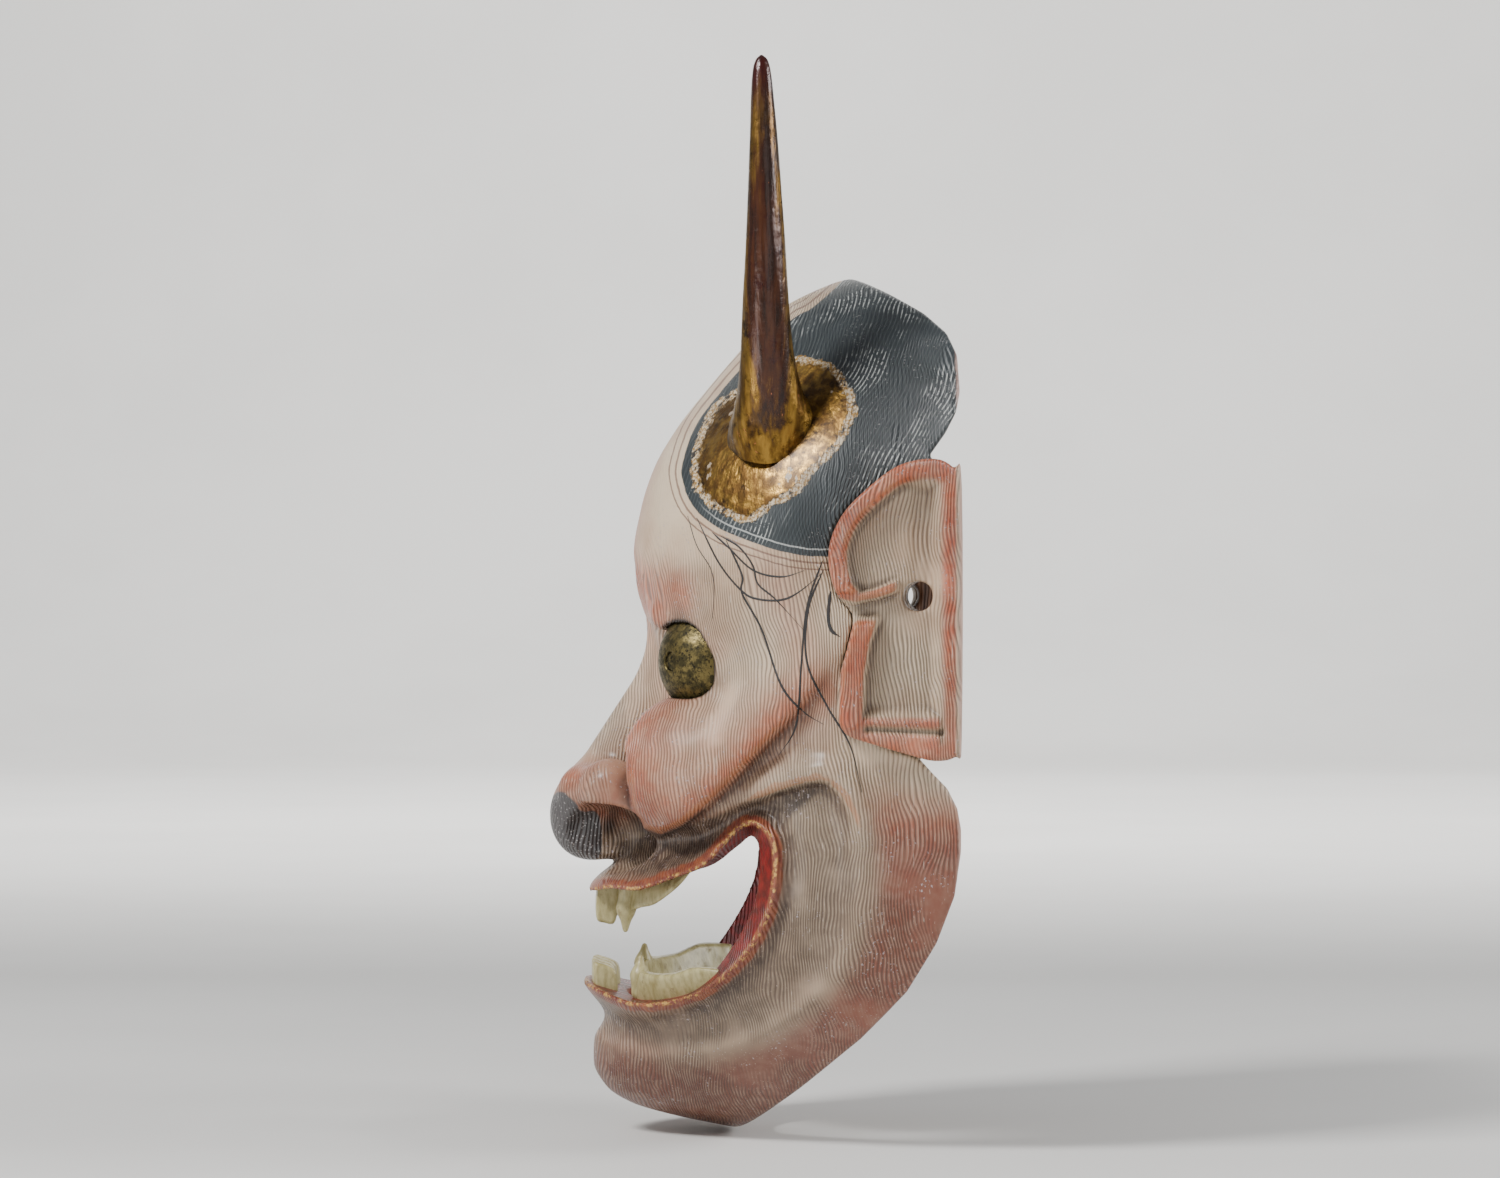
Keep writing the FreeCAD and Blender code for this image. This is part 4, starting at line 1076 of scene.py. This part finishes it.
def horn_gilding():
    p = Paint("horn_gilding")
    fine, streak = p.noise(2.4, 4.0), p.noise(2.6, 4.0, 0.6, (1, 1, 9.0))
    gold = gold_leaf(p, streak)
    # leaf lost down the outer side of the horn shows dark lacquer: partly real wear, partly a
    # painted reflection of the dark stripe along that side; the lost tip is wear
    outer_wear_and_reflection = p.less(p.x, p.times(p.less(p.z, 40.0), 0.06))
    outer_wear_and_reflection = p.ramp(p.ragged(outer_wear_and_reflection, streak, 7.0), 58.5, 61.0)
    tip = p.ramp(p.ragged(p.z, streak, 26.0), 104.0, 122.0)
    bare_and_reflection = p.most(p.times(outer_wear_and_reflection, 0.9), tip)
    lacquer_and_reflection = p.tones(streak, 0.4, 0.65, (60, 16, 10), (34, 14, 10))
    colour = p.mix(bare_and_reflection, gold, lacquer_and_reflection)
    flakes = p.times(p.ramp(p.noise(1.3, 4.0, 0.7, (1, 1, 3.0), (4, 4, 4)), 0.66, 0.7),
                     p.ramp(p.noise(18.0, 2.0, shift=(0, 0, 7)), 0.5, 0.6))
    colour = p.mix(flakes, colour, rgb(214, 128, 88))
    cracks = p.ramp(p.cells(6.0), 0.0, 0.06)
    rough = p.between(bare_and_reflection, p.between(p.ramp(fine, 0.3, 0.7), 0.26, 0.46), 0.24)
    p.bump(p.add(streak, p.add(p.times(fine, 0.6), p.times(cracks, 0.3))), 0.3)
    return p.finish(colour, rough, p.between(bare_and_reflection, 0.95, 0.15))


def eye_metal():
    p = Paint("eye_metal")
    fine, speck = p.noise(2.2, 5.0, 0.7), p.noise(0.8, 4.0, 0.7)
    colour = p.tones(fine, 0.38, 0.6, (112, 98, 56), (60, 54, 30))
    colour = p.mix(p.ramp(speck, 0.52, 0.64), colour, rgb(28, 24, 14))
    p.bump(p.add(fine, p.times(speck, 0.5)), 0.12)
    return p.finish(colour, p.between(p.ramp(fine, 0.3, 0.7), 0.34, 0.6), 0.75)


def tooth_paint():
    p = Paint("teeth")
    fine = p.noise(1.8, 4.0, 0.6, (1, 1, 2.5))
    colour = p.tones(fine, 0.35, 0.7, (186, 176, 128), (150, 138, 90))
    stain = p.ramp(p.noise(3.5, 4.0, 0.7, shift=(3, 3, 3)), 0.56, 0.7)
    colour = p.over(colour, stain, 0.55, 108, 88, 54)
    p.bump(fine, 0.12)
    return p.finish(colour, p.between(stain, 0.36, 0.6))


def plain(name, light, dark, rough, metal=0.0, size=2.0, stretch=(1, 1, 1)):
    """Simple material with a faint grain between two tones."""
    p = Paint(name)
    grain = p.noise(size, 4.0, 0.6, stretch)
    p.bump(grain, 0.08)
    return p.finish(p.mix(p.ramp(grain, 0.35, 0.65), light, dark), rough, metal)


# ---- stage, light and camera: metres ----

MIDDLE = (0, -0.05, 0)


def build_stage():
    """Pale floor that curves up into a backdrop behind the mask."""
    floor, back, bend = -0.1352, -3.4, 0.9
    profile = [(3.0, floor)]
    steps = 16
    for step in range(steps + 1):
        turn = math.pi / 2 * step / steps
        profile.append((back + bend - bend * math.sin(turn),
                        floor + bend - bend * math.cos(turn)))
    profile.append((back, 3.0))
    points = [(x, y, z) for x, z in profile for y in (-4.0, 4.0)]
    faces = [(2 * i, 2 * i + 2, 2 * i + 3, 2 * i + 1) for i in range(len(profile) - 1)]
    mesh = bpy.data.meshes.new("studio")
    mesh.from_pydata(points, [], faces)
    mesh.polygons.foreach_set("use_smooth", [True] * len(faces))
    studio = placed("studio", mesh)
    mesh.materials.append(plain("studio", rgb(232, 230, 226), rgb(226, 224, 220), 0.9, size=400.0))


def light(name, spot, size, power, target=MIDDLE):
    """Square soft light of a size in metres and a power in watts."""
    lamp = bpy.data.lights.new(name, "AREA")
    lamp.size = size
    lamp.energy = power
    aim(placed(name, lamp), spot, target)


def aim(item, spot, target):
    """Put a light or camera somewhere and point it at a target."""
    item.location = spot
    item.rotation_euler = (Vector(target) - Vector(spot)).to_track_quat("-Z", "Y").to_euler()


def build_light():
    world = bpy.data.worlds.new("studio")
    bpy.context.scene.world = world
    world.use_nodes = True
    sky = world.node_tree.nodes["Background"]
    sky.inputs["Color"].default_value = (0.8, 0.84, 0.9, 1)
    sky.inputs["Strength"].default_value = 0.35
    light("key", (0.5, -0.75, 0.8), 0.3, 15)
    light("fill", (1.2, 0.3, 0.1), 0.8, 2.0)
    light("rim", (0.1, 0.9, 0.4), 0.4, 7)
    light("low", (0.45, -0.6, -0.1), 0.25, 1.0)
    light("backdrop", (-1.2, 0.0, 1.3), 1.2, 70, (-3.4, 0.0, 0.2))


def build_camera():
    """The left side of the mask, level and square on."""
    distance, view_width, sensor = 1.2, 0.375, 36
    lens = bpy.data.cameras.new("camera")
    lens.sensor_width = sensor
    lens.lens = sensor * distance / view_width
    lens.clip_start = 0.01
    camera = placed("camera", lens)
    aim(camera, (distance, -0.05, 0.0), MIDDLE)
    bpy.context.scene.camera = camera


face = face_paint()
build_mask(face)
build_ears(face)
build_horns(horn_gilding())
build_eyes(eye_metal())
build_teeth(tooth_paint())
build_strands(plain("hair_ink", rgb(28, 26, 26), rgb(44, 38, 36), 0.45))
build_fixings(plain("bamboo", rgb(178, 148, 92), rgb(140, 110, 62), 0.6, 0.0, 1.2, (1, 1, 6)),
              plain("copper", rgb(150, 100, 62), rgb(92, 62, 42), 0.45, 0.9))
build_stage()
build_light()
build_camera()
